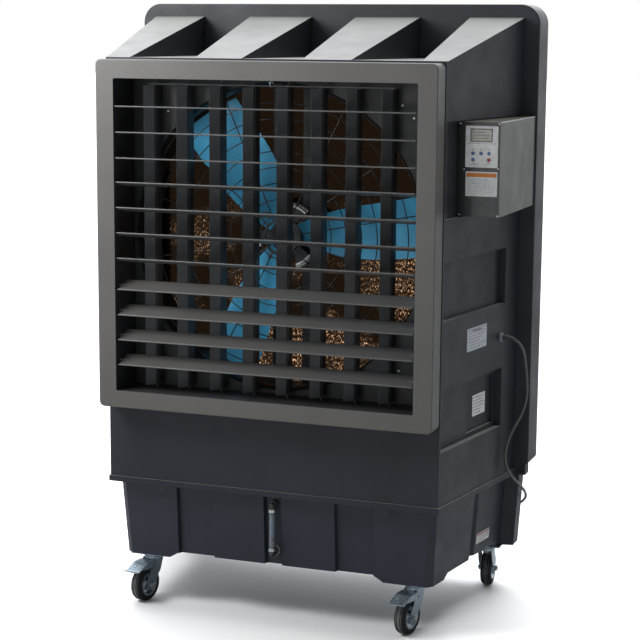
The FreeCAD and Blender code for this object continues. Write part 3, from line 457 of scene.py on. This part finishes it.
def round_outline(width, height, radius, steps=6):
    """Corners of a rounded rectangle about the origin, anticlockwise."""
    points = []
    for cx, cy, start in ((1, 1, 0), (-1, 1, 90), (-1, -1, 180), (1, -1, 270)):
        for i in range(steps + 1):
            a = math.radians(start + 90 * i / steps)
            points.append((cx * (width / 2 - radius) + radius * math.cos(a),
                           cy * (height / 2 - radius) + radius * math.sin(a)))
    return points


def face_plate(name, centre, across, up, width, height, thick, material, slot, radius=0.0008, body=BODY,
               bevel=0.0, **more):
    """A rounded plate centred on a surface point, thickened outwards."""
    across, up = Vector(across).normalized(), Vector(up).normalized()
    out = across.cross(up)
    corners = [Vector(centre) + across * a + up * b for a, b in round_outline(width, height, radius)]
    verts, faces = slab_data(corners, out, thick)
    return piece(name, verts, faces, material, slot, body, bevel, **more)


def strokes(name, centre, across, up, rows, thick, material, slot, body=BODY):
    """Thin raised strokes on a face: rows of (left, right, height, stroke height) about centre, in metres."""
    across, up = Vector(across).normalized(), Vector(up).normalized()
    out = across.cross(up)
    parts = []
    for left, right, level, tall in rows:
        corners = [Vector(centre) + across * a + up * (level + b) for a, b in
                   ((left, -tall / 2), (right, -tall / 2), (right, tall / 2), (left, tall / 2))]
        parts.append(slab_data(corners, out, thick))
    return piece(name, *merged(parts), material, slot, body)


def screw(name, centre, direction, radius=0.004, material=None, body=BODY, slot="zinc_steel", washer=0.0):
    """A pan-head screw with a recessed cross and, where it has one, a washer."""
    r = radius
    profile = [(r * 0.95, 0.0), (r, r * 0.12), (r * 0.92, r * 0.40), (r * 0.62, r * 0.58),
               (r * 0.30, r * 0.62), (0, r * 0.62)]
    if washer:
        raised = [(a, b + r * 0.14) for a, b in profile]
        profile = [(washer, 0), (washer, r * 0.14), (r * 1.02, r * 0.16)] + raised
    parts = [lathe_data(profile, centre, direction, 24)]
    u, v, w = axes_of(direction)
    top = profile[-1][1]
    for a, b in ((u, v), (v, u)):
        corners = [Vector(centre) + w * (top - r * 0.02) + a * (r * 0.5 * i) + b * (r * 0.09 * j)
                   for i, j in ((-1, -1), (1, -1), (1, 1), (-1, 1))]
        parts.append(slab_data(corners, w, r * 0.05))
    return piece(name, *merged(parts), material or EXTRA["screw_steel"], slot, body)


def softened(node, width, segments=2):
    """A copy of a CAD node with its moulded edges rounded, shown in its place."""
    source = frame["nodes"][node]
    mesh = source.data.copy()
    clean = bmesh.new()
    clean.from_mesh(mesh)
    bmesh.ops.remove_doubles(clean, verts=clean.verts, dist=2e-6)
    bmesh.ops.dissolve_limit(clean, angle_limit=math.radians(0.4), verts=clean.verts, edges=clean.edges,
                             use_dissolve_boundaries=False)
    clean.to_mesh(mesh)
    clean.free()
    if mesh.attributes.get("custom_normal"):
        mesh.attributes.remove(mesh.attributes["custom_normal"])
    obj = bpy.data.objects.new(node + "_moulded", mesh)
    bpy.context.scene.collection.objects.link(obj)
    finish_mesh(mesh, 30.0)
    round_edges(obj, width, segments)
    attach(obj, BODY)
    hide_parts(node)
    return obj


# ---- supply cord --------------------------------------------------------------------------------------
CORD_R = 0.004
CORD_ROUTE = (                # x, distance back, height: from the gland, beside the frame, down behind the tank
    (566, 450, 786), (578, 451, 785), (590, 453, 780.5), (601, 457, 772), (609, 462.5, 759),
    (614, 469, 742), (616, 477, 720), (617.5, 486, 692), (618.5, 495, 660), (618.5, 503, 625),
    (614, 508, 590), (603, 509, 556), (587, 502, 523), (573, 488, 490), (566, 473, 455),
    (567, 470, 419), (575, 489, 385), (585, 521, 357), (593, 562, 330), (595, 605, 305),
    (591, 645, 280), (577, 676, 257), (552, 697, 236), (521, 708, 212), (488, 713, 184),
    (455, 716, 155), (422, 718, 124), (389, 719, 92), (355, 720, 61), (320, 723, 34),
    (284, 728, 13), (249, 734, 4.3), (214, 743, 4.2), (182, 752, 4.2),
)
COIL_STEPS = 16               # points in each turn
COIL_START = -105.7           # degrees: where the route meets the first turn
TAIL_R = 0.0365               # radius of the cord's last bend, into the plug


def coil_points():
    """The coil's turns: two on the floor from the outside inwards, two back out on them, and one on top."""
    low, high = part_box("cord_coil")
    centre = (low + high) / 2
    outer = (high.x - low.x) / 2 - CORD_R - 0.0004
    inner = outer - 0.0164
    start = math.radians(COIL_START)
    total = int(4.95 * COIL_STEPS)
    points = []
    for i in range(1, total + 1):
        turn = i / COIL_STEPS
        if turn < 2:
            radius = outer + (inner - outer) * turn / 2
            level = 0.0
        elif turn < 4:
            radius = inner + (outer - inner) * (turn - 2) / 2
            level = 0.0084 * min(1.0, (turn - 2) / 0.25)
        else:
            radius = outer - 0.0075 * (turn - 4)
            level = 0.0084 + 0.0080 * min(1.0, (turn - 4) / 0.3)
        angle = start - 2 * math.pi * turn
        radius += 0.0005 * math.sin(0.37 * i)
        points.append((centre.x + radius * math.cos(angle), centre.y + radius * math.sin(angle),
                       0.0042 + level + 0.0002 * math.sin(0.9 * i)))
    return points


def make_cord():
    route = [tuple(at(*p)) for p in CORD_ROUTE] + coil_points()
    plug_low, plug_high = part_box("cord_plug")
    entry = Vector(((plug_low.x + plug_high.x) / 2, plug_low.y, (plug_low.z + plug_high.z) / 2))
    last = Vector(route[-1])
    middle = entry + Vector((TAIL_R, -0.0015, 0))
    bend = []
    for turn in (-90, -112, -134, -157):
        a = math.radians(turn)
        bend.append(middle + TAIL_R * Vector((math.cos(a), math.sin(a), 0)))
    for share, south in ((0.36, 0.0022), (0.70, 0.0018)):
        route.append(tuple(last.lerp(bend[0], share) - Vector((0, south, 0))))
    route += [tuple(point) for point in bend]
    route += [(entry.x, entry.y - 0.004, entry.z), (entry.x, entry.y + 0.003, entry.z)]
    curve = bpy.data.curves.new("supply_cord", "CURVE")
    curve.dimensions = "3D"
    spline = curve.splines.new("NURBS")
    spline.points.add(len(route) - 1)
    for point, place in zip(spline.points, route):
        point.co = (*place, 1)
    spline.order_u = 3
    spline.use_endpoint_u = True
    spline.resolution_u = 5
    curve.bevel_depth = CORD_R
    curve.bevel_resolution = 4
    curve.use_fill_caps = True
    cord = bpy.data.objects.new("supply_cord", curve)
    bpy.context.scene.collection.objects.link(cord)
    curve.materials.append(MAT["cord_pvc"])
    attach(cord, BODY)
    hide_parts("power_cord", "cord_coil")
    return cord


def line_of(cord):
    """Points along the cord's own line."""
    bare = cord.copy()
    bare.data = cord.data.copy()
    bare.data.bevel_depth = 0
    bpy.context.scene.collection.objects.link(bare)
    bpy.context.view_layer.update()
    mesh = bpy.data.meshes.new_from_object(bare.evaluated_get(bpy.context.evaluated_depsgraph_get()))
    points = [v.co.copy() for v in mesh.vertices]
    bpy.data.objects.remove(bare)
    bpy.data.meshes.remove(mesh)
    return points


def make_strain_relief(points):
    """A ribbed, tapered sleeve that follows the first stretch of the cord out of its gland."""
    reach, length = [], 0.0
    stations = [points[0] - Vector((0.009, 0, 0))] + points
    for before, here in zip(stations, stations[1:]):
        reach.append((before, here, length))
        length += (here - before).length
    sleeve = 0.036
    rings = 28
    verts, faces = [], []
    sides = 20
    for k in range(rings + 1):
        along = sleeve * k / rings
        for before, here, start in reach:
            if start + (here - before).length >= along:
                break
        share = (along - start) / max(1e-9, (here - before).length)
        middle = before.lerp(here, share)
        u, v, _ = axes_of(here - before)
        taper = 0.0088 + (0.0052 - 0.0088) * k / rings
        rib = 0.0006 if (k // 2) % 2 and 3 < k < rings - 2 else 0.0
        radius = CORD_R * 0.9 if k == rings else taper + rib
        for j in range(sides):
            a = 2 * math.pi * j / sides
            verts.append(middle + u * radius * math.cos(a) + v * radius * math.sin(a))
    for k in range(rings):
        for j in range(sides):
            n = (j + 1) % sides
            faces.append((k * sides + j, k * sides + n, (k + 1) * sides + n, (k + 1) * sides + j))
    faces.append(tuple(range(sides)))
    return piece("strain_relief", verts, faces, MAT["gland_plastic"], "gland_plastic", sharp=50)


def make_coil_tie():
    """A hook-and-loop strap round the coil on the side away from the plug."""
    low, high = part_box("cord_coil")
    centre = (low + high) / 2
    middle = (high.x - low.x) / 2 - 0.0123
    angle = math.radians(28)
    out = Vector((math.cos(angle), math.sin(angle), 0))
    side = Vector((-out.y, out.x, 0))
    ring = Vector((centre.x, centre.y, 0)) + out * middle
    outline = [(a, b + 0.0138) for a, b in round_outline(0.0285, 0.0268, 0.006, 5)]
    inner = [(a * 0.93, 0.0138 + (b - 0.0138) * 0.93) for a, b in outline]
    verts, faces = [], []
    count = len(outline)
    for width in (-0.008, 0.008):
        for shape in (outline, inner):
            verts += [ring + out * a + Vector((0, 0, max(b, 0.0003))) + side * width for a, b in shape]
    for i in range(count):
        j = (i + 1) % count
        faces += [(i, j, 2 * count + j, 2 * count + i),
                  (count + j, count + i, 3 * count + i, 3 * count + j),
                  (j, i, count + i, count + j),
                  (2 * count + i, 2 * count + j, 3 * count + j, 3 * count + i)]
    return piece("coil_tie", verts, faces, EXTRA["ink"], "cord_pvc")


cord = make_cord()
cord_line = line_of(cord)
relief = make_strain_relief(cord_line)
tie = make_coil_tie()


# ---- corrugated wet pad -------------------------------------------------------------------------------
def make_pad():
    """Sheets of corrugated paper on edge, with flutes that slant up and down by turns."""
    low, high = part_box("cooling_pad")
    pitch, wave, steps = 0.0072, 0.0165, 6
    sheets = int((high.x - low.x) / pitch)
    rows = int((high.z - low.z) / (wave / steps))
    depth = high.y - low.y
    verts, faces = [], []
    for k in range(sheets):
        x = low.x + pitch * (k + 0.5)
        slant = 1.0 if k % 2 else -1.0
        phase = random.random() * 0.5
        base = len(verts)
        for r in range(rows + 1):
            z = low.z + (high.z - low.z) * r / rows
            for share in (0.0, 0.24, 1.0):
                along = z / wave + slant * depth * share / wave * 0.7 + phase
                verts.append((x + 0.48 * pitch * math.sin(2 * math.pi * along), low.y + depth * share, z))
        for r in range(rows):
            for c in range(2):
                a = base + 3 * r + c
                faces.append((a, a + 1, a + 4, a + 3))
    mesh = bpy.data.meshes.new("wet_pad")
    mesh.from_pydata(verts, [], faces)
    mesh.shade_smooth()
    mesh.materials.append(MAT["pad_cellulose"])
    pad = bpy.data.objects.new("wet_pad", mesh)
    bpy.context.scene.collection.objects.link(pad)
    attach(pad, BODY)
    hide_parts("cooling_pad")
    # a dark sheet in the pad's middle: painted shade that stops the view through the flutes
    middle = (low.y + high.y) / 2
    block("pad_shade_sheet", (low.x + 0.003, middle - 0.001, low.z + 0.003),
          (high.x - 0.003, middle + 0.001, high.z - 0.003),
          EXTRA["pad_shade_sheet"], "pad_cellulose", bevel=0)


make_pad()


# ---- moulded shells -----------------------------------------------------------------------------------
softened("body_shell", 0.0035)
softened("water_tank", 0.006, 3)
softened("rear_frame", 0.0018)
softened("control_box", 0.0012)

# The frame's face is closed above the deck, between the roof wedges.
deck_z, frame_face = 1.560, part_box("rear_frame")[0].y
block("frame_apron", (-0.560, frame_face - 0.0003, deck_z - 0.008), (0.560, frame_face + 0.003, 1.706),
      MAT["housing_plastic"], "housing_plastic", bevel=0)


# ---- level gauge --------------------------------------------------------------------------------------
def make_gauge():
    """The gauge's CAD shape again, with black elbows and plated collars."""
    mesh = frame["nodes"]["level_gauge"].data.copy()
    obj = bpy.data.objects.new("sight_gauge", mesh)
    bpy.context.scene.collection.objects.link(obj)
    mesh.materials.clear()
    for material in (MAT["gauge_clear"], MAT["gland_plastic"], EXTRA["screw_steel"]):
        mesh.materials.append(material)
    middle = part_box("gauge_float")
    x, y = (middle[0].x + middle[1].x) / 2, (middle[0].y + middle[1].y) / 2
    for face in mesh.polygons:
        z = face.center.z / MM
        radius = math.hypot(face.center.x - x, face.center.y - y) / MM
        collar = radius > 8.5 and (200.5 < z < 210.5 or 312.5 < z < 322.5) and face.center.y < y + 0.011
        face.material_index = 0 if 210.1 < z < 312.9 and radius < 8 else (2 if collar else 1)
    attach(obj, BODY)
    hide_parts("level_gauge")
    centre = at(8, 90, 203)
    verts, faces = [], []
    turns, sides = 16, 10
    for i in range(turns + 1):
        a = math.radians(68 - 176 * i / turns)
        out = Vector((math.cos(a), 0, math.sin(a)))
        for j in range(sides):
            b = 2 * math.pi * j / sides
            across = Vector((0, 0.0021 * math.sin(b), 0))
            verts.append(centre + out * (0.0155 + 0.0021 * math.cos(b)) + across)
    for i in range(turns):
        for j in range(sides):
            k = (j + 1) % sides
            faces.append((i * sides + j, i * sides + k, (i + 1) * sides + k, (i + 1) * sides + j))
    piece("gauge_clip", verts, faces, EXTRA["groove_grey"], "gauge_clear", sharp=60)


make_gauge()


# ---- parts laid on CAD surfaces -----------------------------------------------------------------------
TREES = {}


def surface(node, origin, direction):
    """Where a ray first meets a CAD node, and the way that the surface faces."""
    if node not in TREES:
        shape = bmesh.new()
        shape.from_mesh(frame["nodes"][node].data)
        shape.transform(frame["nodes"][node].matrix_world)
        TREES[node] = BVHTree.FromBMesh(shape)
        shape.free()
    place, normal, _, _ = TREES[node].ray_cast(Vector(origin), Vector(direction))
    if place is None:
        raise RuntimeError("no surface of " + node + " there")
    return place, normal if normal.dot(Vector(direction)) < 0 else -normal


def script(width, top, bottom, count, tall):
    """Rows of plain bars that stand for small print."""
    rows = []
    for i in range(count):
        level = top + (bottom - top) * i / max(1, count - 1)
        left, end = -width / 2, width * random.uniform(0.1, 0.5)
        while left < end:
            word = random.uniform(0.06, 0.2) * width
            rows.append((left, min(left + word, width / 2), level, tall))
            left += word + 0.03 * width
    return rows


def sticker(name, node, centre, facing, width, height, material, prints=(), slot="box_plastic",
            thick=0.0003):
    """A label on a CAD surface, seen from facing, with its print in (material, rows) pairs."""
    facing = Vector(facing)
    place, normal = surface(node, Vector(centre) + facing * 0.4, -facing)
    up = (Vector((0, 0, 1)) - normal * normal.z).normalized()
    across = up.cross(normal)
    face_plate(name, place, across, up, width, height, thick, material, slot, 0.0015)
    for i, (ink, rows) in enumerate(prints):
        strokes(name + "_print_" + str(i), place + normal * thick, across, up, rows, 0.00012, ink, slot)


def bolt_at(name, node, origin, direction, radius=0.004, washer=0.0, material=None, body=BODY):
    place, normal = surface(node, origin, direction)
    screw(name, place - normal * 0.0003, normal, radius, material, body, washer=washer)


def make_panel():
    """The control panel's black face, key membrane, display and label, thinner than a pressed key."""
    east, up, face = (1, 0, 0), (0, 0, 1), 175.0
    layer = 0.12
    face_plate("panel_face", at(549.5, face, 1277), east, up, 0.1125, 0.2495, layer * MM,
               EXTRA["panel_black"],
               "box_plastic", 0.003)
    face_plate("key_membrane", at(556, face - layer, 1337.5), east, up, 0.088, 0.109, layer * MM,
               EXTRA["membrane"],
               "box_plastic", 0.003)
    top = face - 2 * layer
    face_plate("display_frame", at(555, top, 1367.5), east, up, 0.060, 0.035, 0.0003, EXTRA["panel_black"],
               "box_plastic", 0.0015)
    face_plate("display", at(555, top - 0.3, 1367.5), east, up, 0.055, 0.030, 0.0003, EXTRA["display"],
               "box_plastic")
    strokes("display_segments", at(555, top - 0.6, 1367.5), east, up,
            script(0.044, 0.008, -0.008, 3, 0.0032), 0.0001,
            EXTRA["ink_pale"], "box_plastic")
    marks = [(-0.040, 0.040, 0.0085, 0.0006), (-0.040, 0.040, -0.0475, 0.0005)]
    for x in (533, 554.5, 576):
        marks.append(((x - 559.5) * MM, (x - 552.5) * MM, -0.0075, 0.0012))
    for x in (533, 576):
        marks += [((x - 561) * MM, (x - 551) * MM, -0.0435, 0.0012)]
    strokes("key_marks", at(556, top, 1337.5), east, up, marks, 0.00008, EXTRA["ink"], "box_plastic")
    face_plate("warning_label", at(557, face - layer, 1239.5), east, up, 0.086, 0.065, 0.0002,
               EXTRA["label_white"], "box_plastic", 0.0015)
    place = at(557, face - layer - 0.2, 1239.5)
    strokes("label_header", place, east, up, [(-0.041, 0.041, 0.0235, 0.0105)], 0.0001, EXTRA["orange"],
            "box_plastic")
    strokes("label_print", place, east, up, script(0.076, 0.012, -0.026, 8, 0.0018), 0.0001,
            EXTRA["ink_faint"], "box_plastic")
    places = ((603, 1398), (497, 1398), (509, 1278), (603, 1281), (497, 1157), (603, 1157))
    for i, (x, z) in enumerate(places):
        screw("panel_screw_" + str(i), at(x - (1 if x > 600 else 0), face - layer, z), (0, -1, 0), 0.0030)


make_panel()
block("box_lid_edge", at(604.8, 180, 1400.2), at(606.3, 566, 1402.4), EXTRA["label_silver"], "box_plastic")
wall = (1, 0, 0)
sticker("rating_plate", "body_shell", at(600, 291, 808), wall, 0.128, 0.063, EXTRA["label_silver"],
        [(EXTRA["ink_pale"], script(0.108, 0.018, -0.024, 6, 0.0032)),
         (EXTRA["ink"], [(-0.060, 0.060, 0.0265, 0.0014), (-0.030, 0.030, 0.0225, 0.003)])])
sticker("hatch_label", "body_shell", at(600, 372, 606), wall, 0.084, 0.060, EXTRA["label_white"],
        [(EXTRA["ink_pale"], script(0.072, 0.022, -0.022, 6, 0.003))])
sticker("tank_label", "water_tank", at(620, 454, 200), wall, 0.088, 0.030, EXTRA["label_white"],
        [(EXTRA["maroon"], [(-0.041, 0.041, 0.0105, 0.0045)]),
         (EXTRA["ink"], script(0.076, 0.003, -0.010, 3, 0.002))])
for i, (x, back, z) in enumerate(((700, 107, 355), (700, 453, 355), (-700, 107, 355), (-700, 453, 355))):
    bolt_at("rim_screw_" + str(i), "water_tank", at(x, back, z), (-1 if x > 0 else 1, 0, 0), 0.0042,
            0.0065, MAT["dark_steel"])
for i, x in enumerate((-336, 332)):
    bolt_at("rim_screw_front_" + str(i), "water_tank", at(x, -50, 344), (0, 1, 0), 0.0042, 0.0065,
            MAT["dark_steel"])
for i, (x, z) in enumerate(((-328, 1413), (351, 1443), (384, 1410), (351, 732), (-351, 732), (-384, 1443))):
    bolt_at("shroud_screw_" + str(i), "fan_shroud", at(x, 60, z), (0, 1, 0), 0.0045)
rear_screws = [(x, z) for x in (-578, 578) for z in (420, 730, 1045, 1360, 1675)]
rear_screws += [(-250, 1665), (250, 1665)]
for i, (x, z) in enumerate(rear_screws):
    bolt_at("grille_screw_" + str(i), "rear_grille", at(x, 720, z), (0, -1, 0), 0.005, 0.008)


# ---- fan hub ------------------------------------------------------------------------------------------
def polar(radius, degrees, back):
    a = math.radians(degrees)
    return at(radius * math.cos(a), back, FAN_Z + radius * math.sin(a))


def arc_bar(radius0, radius1, turn0, turn1, back0, back1, steps=8):
    """Vertices and faces of a flat bar bent about the fan's axis."""
    verts, faces = [], []
    for i in range(steps + 1):
        a = turn0 + (turn1 - turn0) * i / steps
        verts += [polar(radius0, a, back0), polar(radius1, a, back0), polar(radius1, a, back1),
                  polar(radius0, a, back1)]
    for i in range(steps):
        for j in range(4):
            k = (j + 1) % 4
            faces.append((4 * i + j, 4 * i + k, 4 * i + 4 + k, 4 * i + 4 + j))
    return verts, faces + [(0, 1, 2, 3), tuple(4 * steps + j for j in (3, 2, 1, 0))]


def make_hub():
    """A pressed hub with a toothed clamp between each pair of blades, and two bolts in each blade root."""
    webs, teeth = [], []
    for blade in (2, 122, 242):
        middle = blade + 64
        webs.append(arc_bar(36, 84, middle - 15, middle + 15, 199, 203))
        teeth.append(arc_bar(82, 86, middle - 17, middle + 17, 194, 202, 12))
        for i in range(9):
            turn = middle - 16 + 4 * i
            teeth.append(arc_bar(85.5, 95, turn - 0.8, turn + 0.8, 195, 203, 1))
        for side in (-15, 15):
            start = polar(84, blade + side, 100)
            bolt_at("blade_bolt_%d_%d" % (blade, side + 15), "fan_impeller", start, (0, 1, 0), 0.0055,
                    0.0085,
                    body="fan_impeller")
    piece("hub_webs", *merged(webs), MAT["dark_steel"], "fan_blue", "fan_impeller")
    piece("hub_clamps", *merged(teeth), EXTRA["screw_steel"], "zinc_steel", "fan_impeller")
    lathe("hub_nut", [(0.0, -0.009), (0.0095, -0.009), (0.011, -0.006), (0.011, 0.0)], at(0, 172, FAN_Z),
          (0, 1, 0),
          EXTRA["screw_steel"], "zinc_steel", "fan_impeller", 6, sharp=20)


make_hub()
lip = [(0.4310, 0.0004), (0.4262, 0.0028), (0.4240, 0.0036), (0.4236, 0.0048), (0.4258, 0.0044),
       (0.4310, 0.0018)]
lathe("venturi_lip", lip, at(0, 128, FAN_Z), (0, 1, 0), MAT["louvre_plastic"], "shroud_plastic", steps=120,
      closed=True)


# ---- castors ------------------------------------------------------------------------------------------
CASTORS = (                   # name, x, distance back, way the wheel trails, brake
    ("front_left", -398, 160, -13, True), ("front_right", 398, 160, -13, True),
    ("rear_left", -485, 596, 176, False), ("rear_right", 485, 596, 184, False),
)
TYRE = (                      # radius, distance from the wheel's middle plane
    (33.4, -15.2), (38, -15.9), (39, -16.2), (40, -15.8), (45, -15.4), (48.3, -13.2),
    (49.6, -10.0), (50, -7.2), (48.3, -6.8), (48.3, -5.0), (50, -4.6), (50, 4.6), (48.3, 5.0),
    (48.3, 6.8), (50, 7.2), (49.6, 10.0), (48.3, 13.2), (45, 15.4), (40, 15.8), (39, 16.2),
    (38, 15.9), (33.4, 15.2),
)
RIM = (
    (5.2, -16.5), (12.2, -16.5), (12.8, -9.5), (15.5, -6.2), (22, -6.0), (28.5, -11.5),
    (30.5, -15.3), (33.4, -15.9), (33.4, 15.9), (30.5, 15.3), (28.5, 11.5), (22, 6.0), (15.5, 6.2),
    (12.8, 9.5), (12.2, 16.5), (5.2, 16.5),
)


def metres(profile):
    return [(r * MM, along * MM) for r, along in profile]


def make_castor(name, x, back, trail, brake):
    turn = Matrix.Translation(at(x, back, 0)) @ Matrix.Rotation(math.radians(trail), 4, "Z")

    def local(a, b, c):
        return turn @ Vector((a * MM, b * MM, c * MM))

    middle, axle = local(0, -40, 50), turn.to_3x3() @ Vector((1, 0, 0))
    wheel, fork = "wheel_" + name, "fork_" + name
    lathe("tyre_" + name, metres(TYRE), middle, axle, MAT["tyre_rubber"], "tyre_rubber", wheel, 72, True,
          sharp=40,
          replaces=[wheel])
    bands = [lathe_data(metres(((50.02, a), (50.02, b))), middle, axle, 72)
             for a, b in ((-9.4, -7.3), (-4.4, 4.4), (7.3, 9.4))]
    piece("tread_" + name, *merged(bands), EXTRA["groove_grey"], "tyre_rubber", wheel)
    lathe("rim_" + name, metres(RIM), middle, axle, MAT["zinc_steel"], "zinc_steel", wheel, 60, True,
          sharp=50)
    nuts = []
    for side in (-1, 1):
        head = [(0, 27.6), (8.2, 27.6), (9.4, 26.2), (9.4, 21.4), (11.5, 21.4), (11.5, 20.6)]
        nuts.append(lathe_data([(r * MM, side * a * MM) for r, a in head], middle, axle,
                               6 if side > 0 else 24))
        nuts.append(lathe_data([(0, side * 0.0302), (0.0042, side * 0.0302), (0.005, side * 0.0292),
                                (0.005, side * 0.027)],
                               middle, axle, 20))
    piece("axle_nuts_" + name, *merged(nuts), EXTRA["screw_steel"], "zinc_steel", fork, sharp=25)
    bearing = [(0.0238, 0.1180), (0.0262, 0.1186), (0.0268, 0.1222), (0.0262, 0.1258), (0.0235, 0.1262)]
    lathe("bearing_" + name, bearing, local(0, 0, 0), (0, 0, 1), MAT["zinc_steel"], "zinc_steel", fork, 48)
    if brake:
        ribs = []
        for y in (-64, -72, -80, -88):
            z = 115.9 + (y + 60) * 17 / 38
            ribs.append(slab_data([local(a, b, z + (b - y) * 17 / 38) for a, b in
                                   ((-19, y - 1.2), (19, y - 1.2), (19, y + 1.2), (-19, y + 1.2))],
                                  local(0, -0.4, 0.9) - local(0, 0, 0), 0.0009))
        piece("pedal_ribs_" + name, *merged(ribs), MAT["zinc_steel"], "zinc_steel", "pedal_" + name)
        low, high = at(x - 50, back - 40.3, 136.4), at(x - 3, back - 40, 139.6)
        block("plate_primer_" + name, low, high, EXTRA["maroon"], "zinc_steel", bevel=0)


for castor in CASTORS:
    make_castor(*castor)

# ---- studio -------------------------------------------------------------------------------------------
FLOOR = 60                    # half the floor's width in metres
corners = [(-FLOOR, -FLOOR, 0), (FLOOR, -FLOOR, 0), (FLOOR, FLOOR, 0), (-FLOOR, FLOOR, 0)]
floor_data = slab_data(corners, (0, 0, -1), 0.02)
floor_mesh = bpy.data.meshes.new("studio_floor")
floor_mesh.from_pydata([tuple(v) for v in floor_data[0]], [], floor_data[1])
floor = bpy.data.objects.new("studio_floor", floor_mesh)
bpy.context.scene.collection.objects.link(floor)
floor_shader = Shader("studio_floor", (0.95, 0.95, 0.95), 0.7, specular=0.2)
lit_by = floor_shader.add("LightPath").outputs["Is Camera Ray"]
floor_shader.set("Base Color", floor_shader.mix(lit_by, (0.34, 0.35, 0.36), (0.95, 0.95, 0.95)))
floor_shader.set("Roughness", floor_shader.span(floor_shader.noise(1.5, 2.0), 0.3, 0.7, 0.65, 0.75))
floor_mesh.materials.append(floor_shader.material)


def area_light(name, place, target, size, watts, color=(1, 1, 1)):
    data = bpy.data.lights.new(name, "AREA")
    data.shape = "RECTANGLE"
    data.size, data.size_y = size
    data.energy = watts
    data.color = color
    light = bpy.data.objects.new(name, data)
    bpy.context.scene.collection.objects.link(light)
    light.location = place
    light.rotation_euler = (Vector(target) - Vector(place)).to_track_quat("-Z", "Y").to_euler()


def sun_light(name, away, strength, degrees):
    data = bpy.data.lights.new(name, "SUN")
    data.energy = strength
    data.angle = math.radians(degrees)
    light = bpy.data.objects.new(name, data)
    bpy.context.scene.collection.objects.link(light)
    light.rotation_euler = (-Vector(away)).to_track_quat("-Z", "Y").to_euler()


def make_world():
    """White to look at; dim all round for the light it gives, with one bright side behind the cooler."""
    world = bpy.data.worlds.new("studio")
    world.use_nodes = True
    tree = world.node_tree
    nodes, links = tree.nodes, tree.links
    ways = nodes.new("ShaderNodeTexCoord").outputs["Generated"]
    lobe = nodes.new("ShaderNodeVectorMath")
    lobe.operation = "DOT_PRODUCT"
    lobe.inputs[1].default_value = (-0.42, 0.87, 0.26)
    links.new(ways, lobe.inputs[0])
    bright = nodes.new("ShaderNodeMapRange")
    for key, value in (("From Min", 0.25), ("From Max", 0.95), ("To Min", AROUND), ("To Max", BEHIND)):
        bright.inputs[key].default_value = value
    links.new(lobe.outputs["Value"], bright.inputs["Value"])
    lit = nodes["Background"]
    lit.inputs["Color"].default_value = (0.93, 0.97, 1.0, 1.0)
    links.new(bright.outputs["Result"], lit.inputs["Strength"])
    seen = nodes.new("ShaderNodeBackground")
    seen.inputs["Color"].default_value = (1.0, 1.0, 1.0, 1.0)
    seen.inputs["Strength"].default_value = 1.0
    pick = nodes.new("ShaderNodeMixShader")
    links.new(nodes.new("ShaderNodeLightPath").outputs["Is Camera Ray"], pick.inputs[0])
    links.new(lit.outputs[0], pick.inputs[1])
    links.new(seen.outputs[0], pick.inputs[2])
    links.new(pick.outputs[0], nodes["World Output"].inputs["Surface"])
    bpy.context.scene.world = world


AROUND, BEHIND = 0.15, 2.30   # strengths of the world's light
sun_light("overhead", (0.05, 0.22, 1.0), 3.1, 45)
area_light("key", (-1.25, -1.15, 2.0), (0, 0, 1.1), (0.9, 0.9), 37)
area_light("fill", (3.7, -1.6, 1.1), (0.4, 0, 0.9), (0.5, 2.2), 1.7, (0.66, 0.82, 1.0))
area_light("front", (-0.6, -4.6, 1.5), (0, 0, 1.0), (2.0, 2.0), 19)
make_world()
bpy.context.scene.view_settings.view_transform = "Standard"
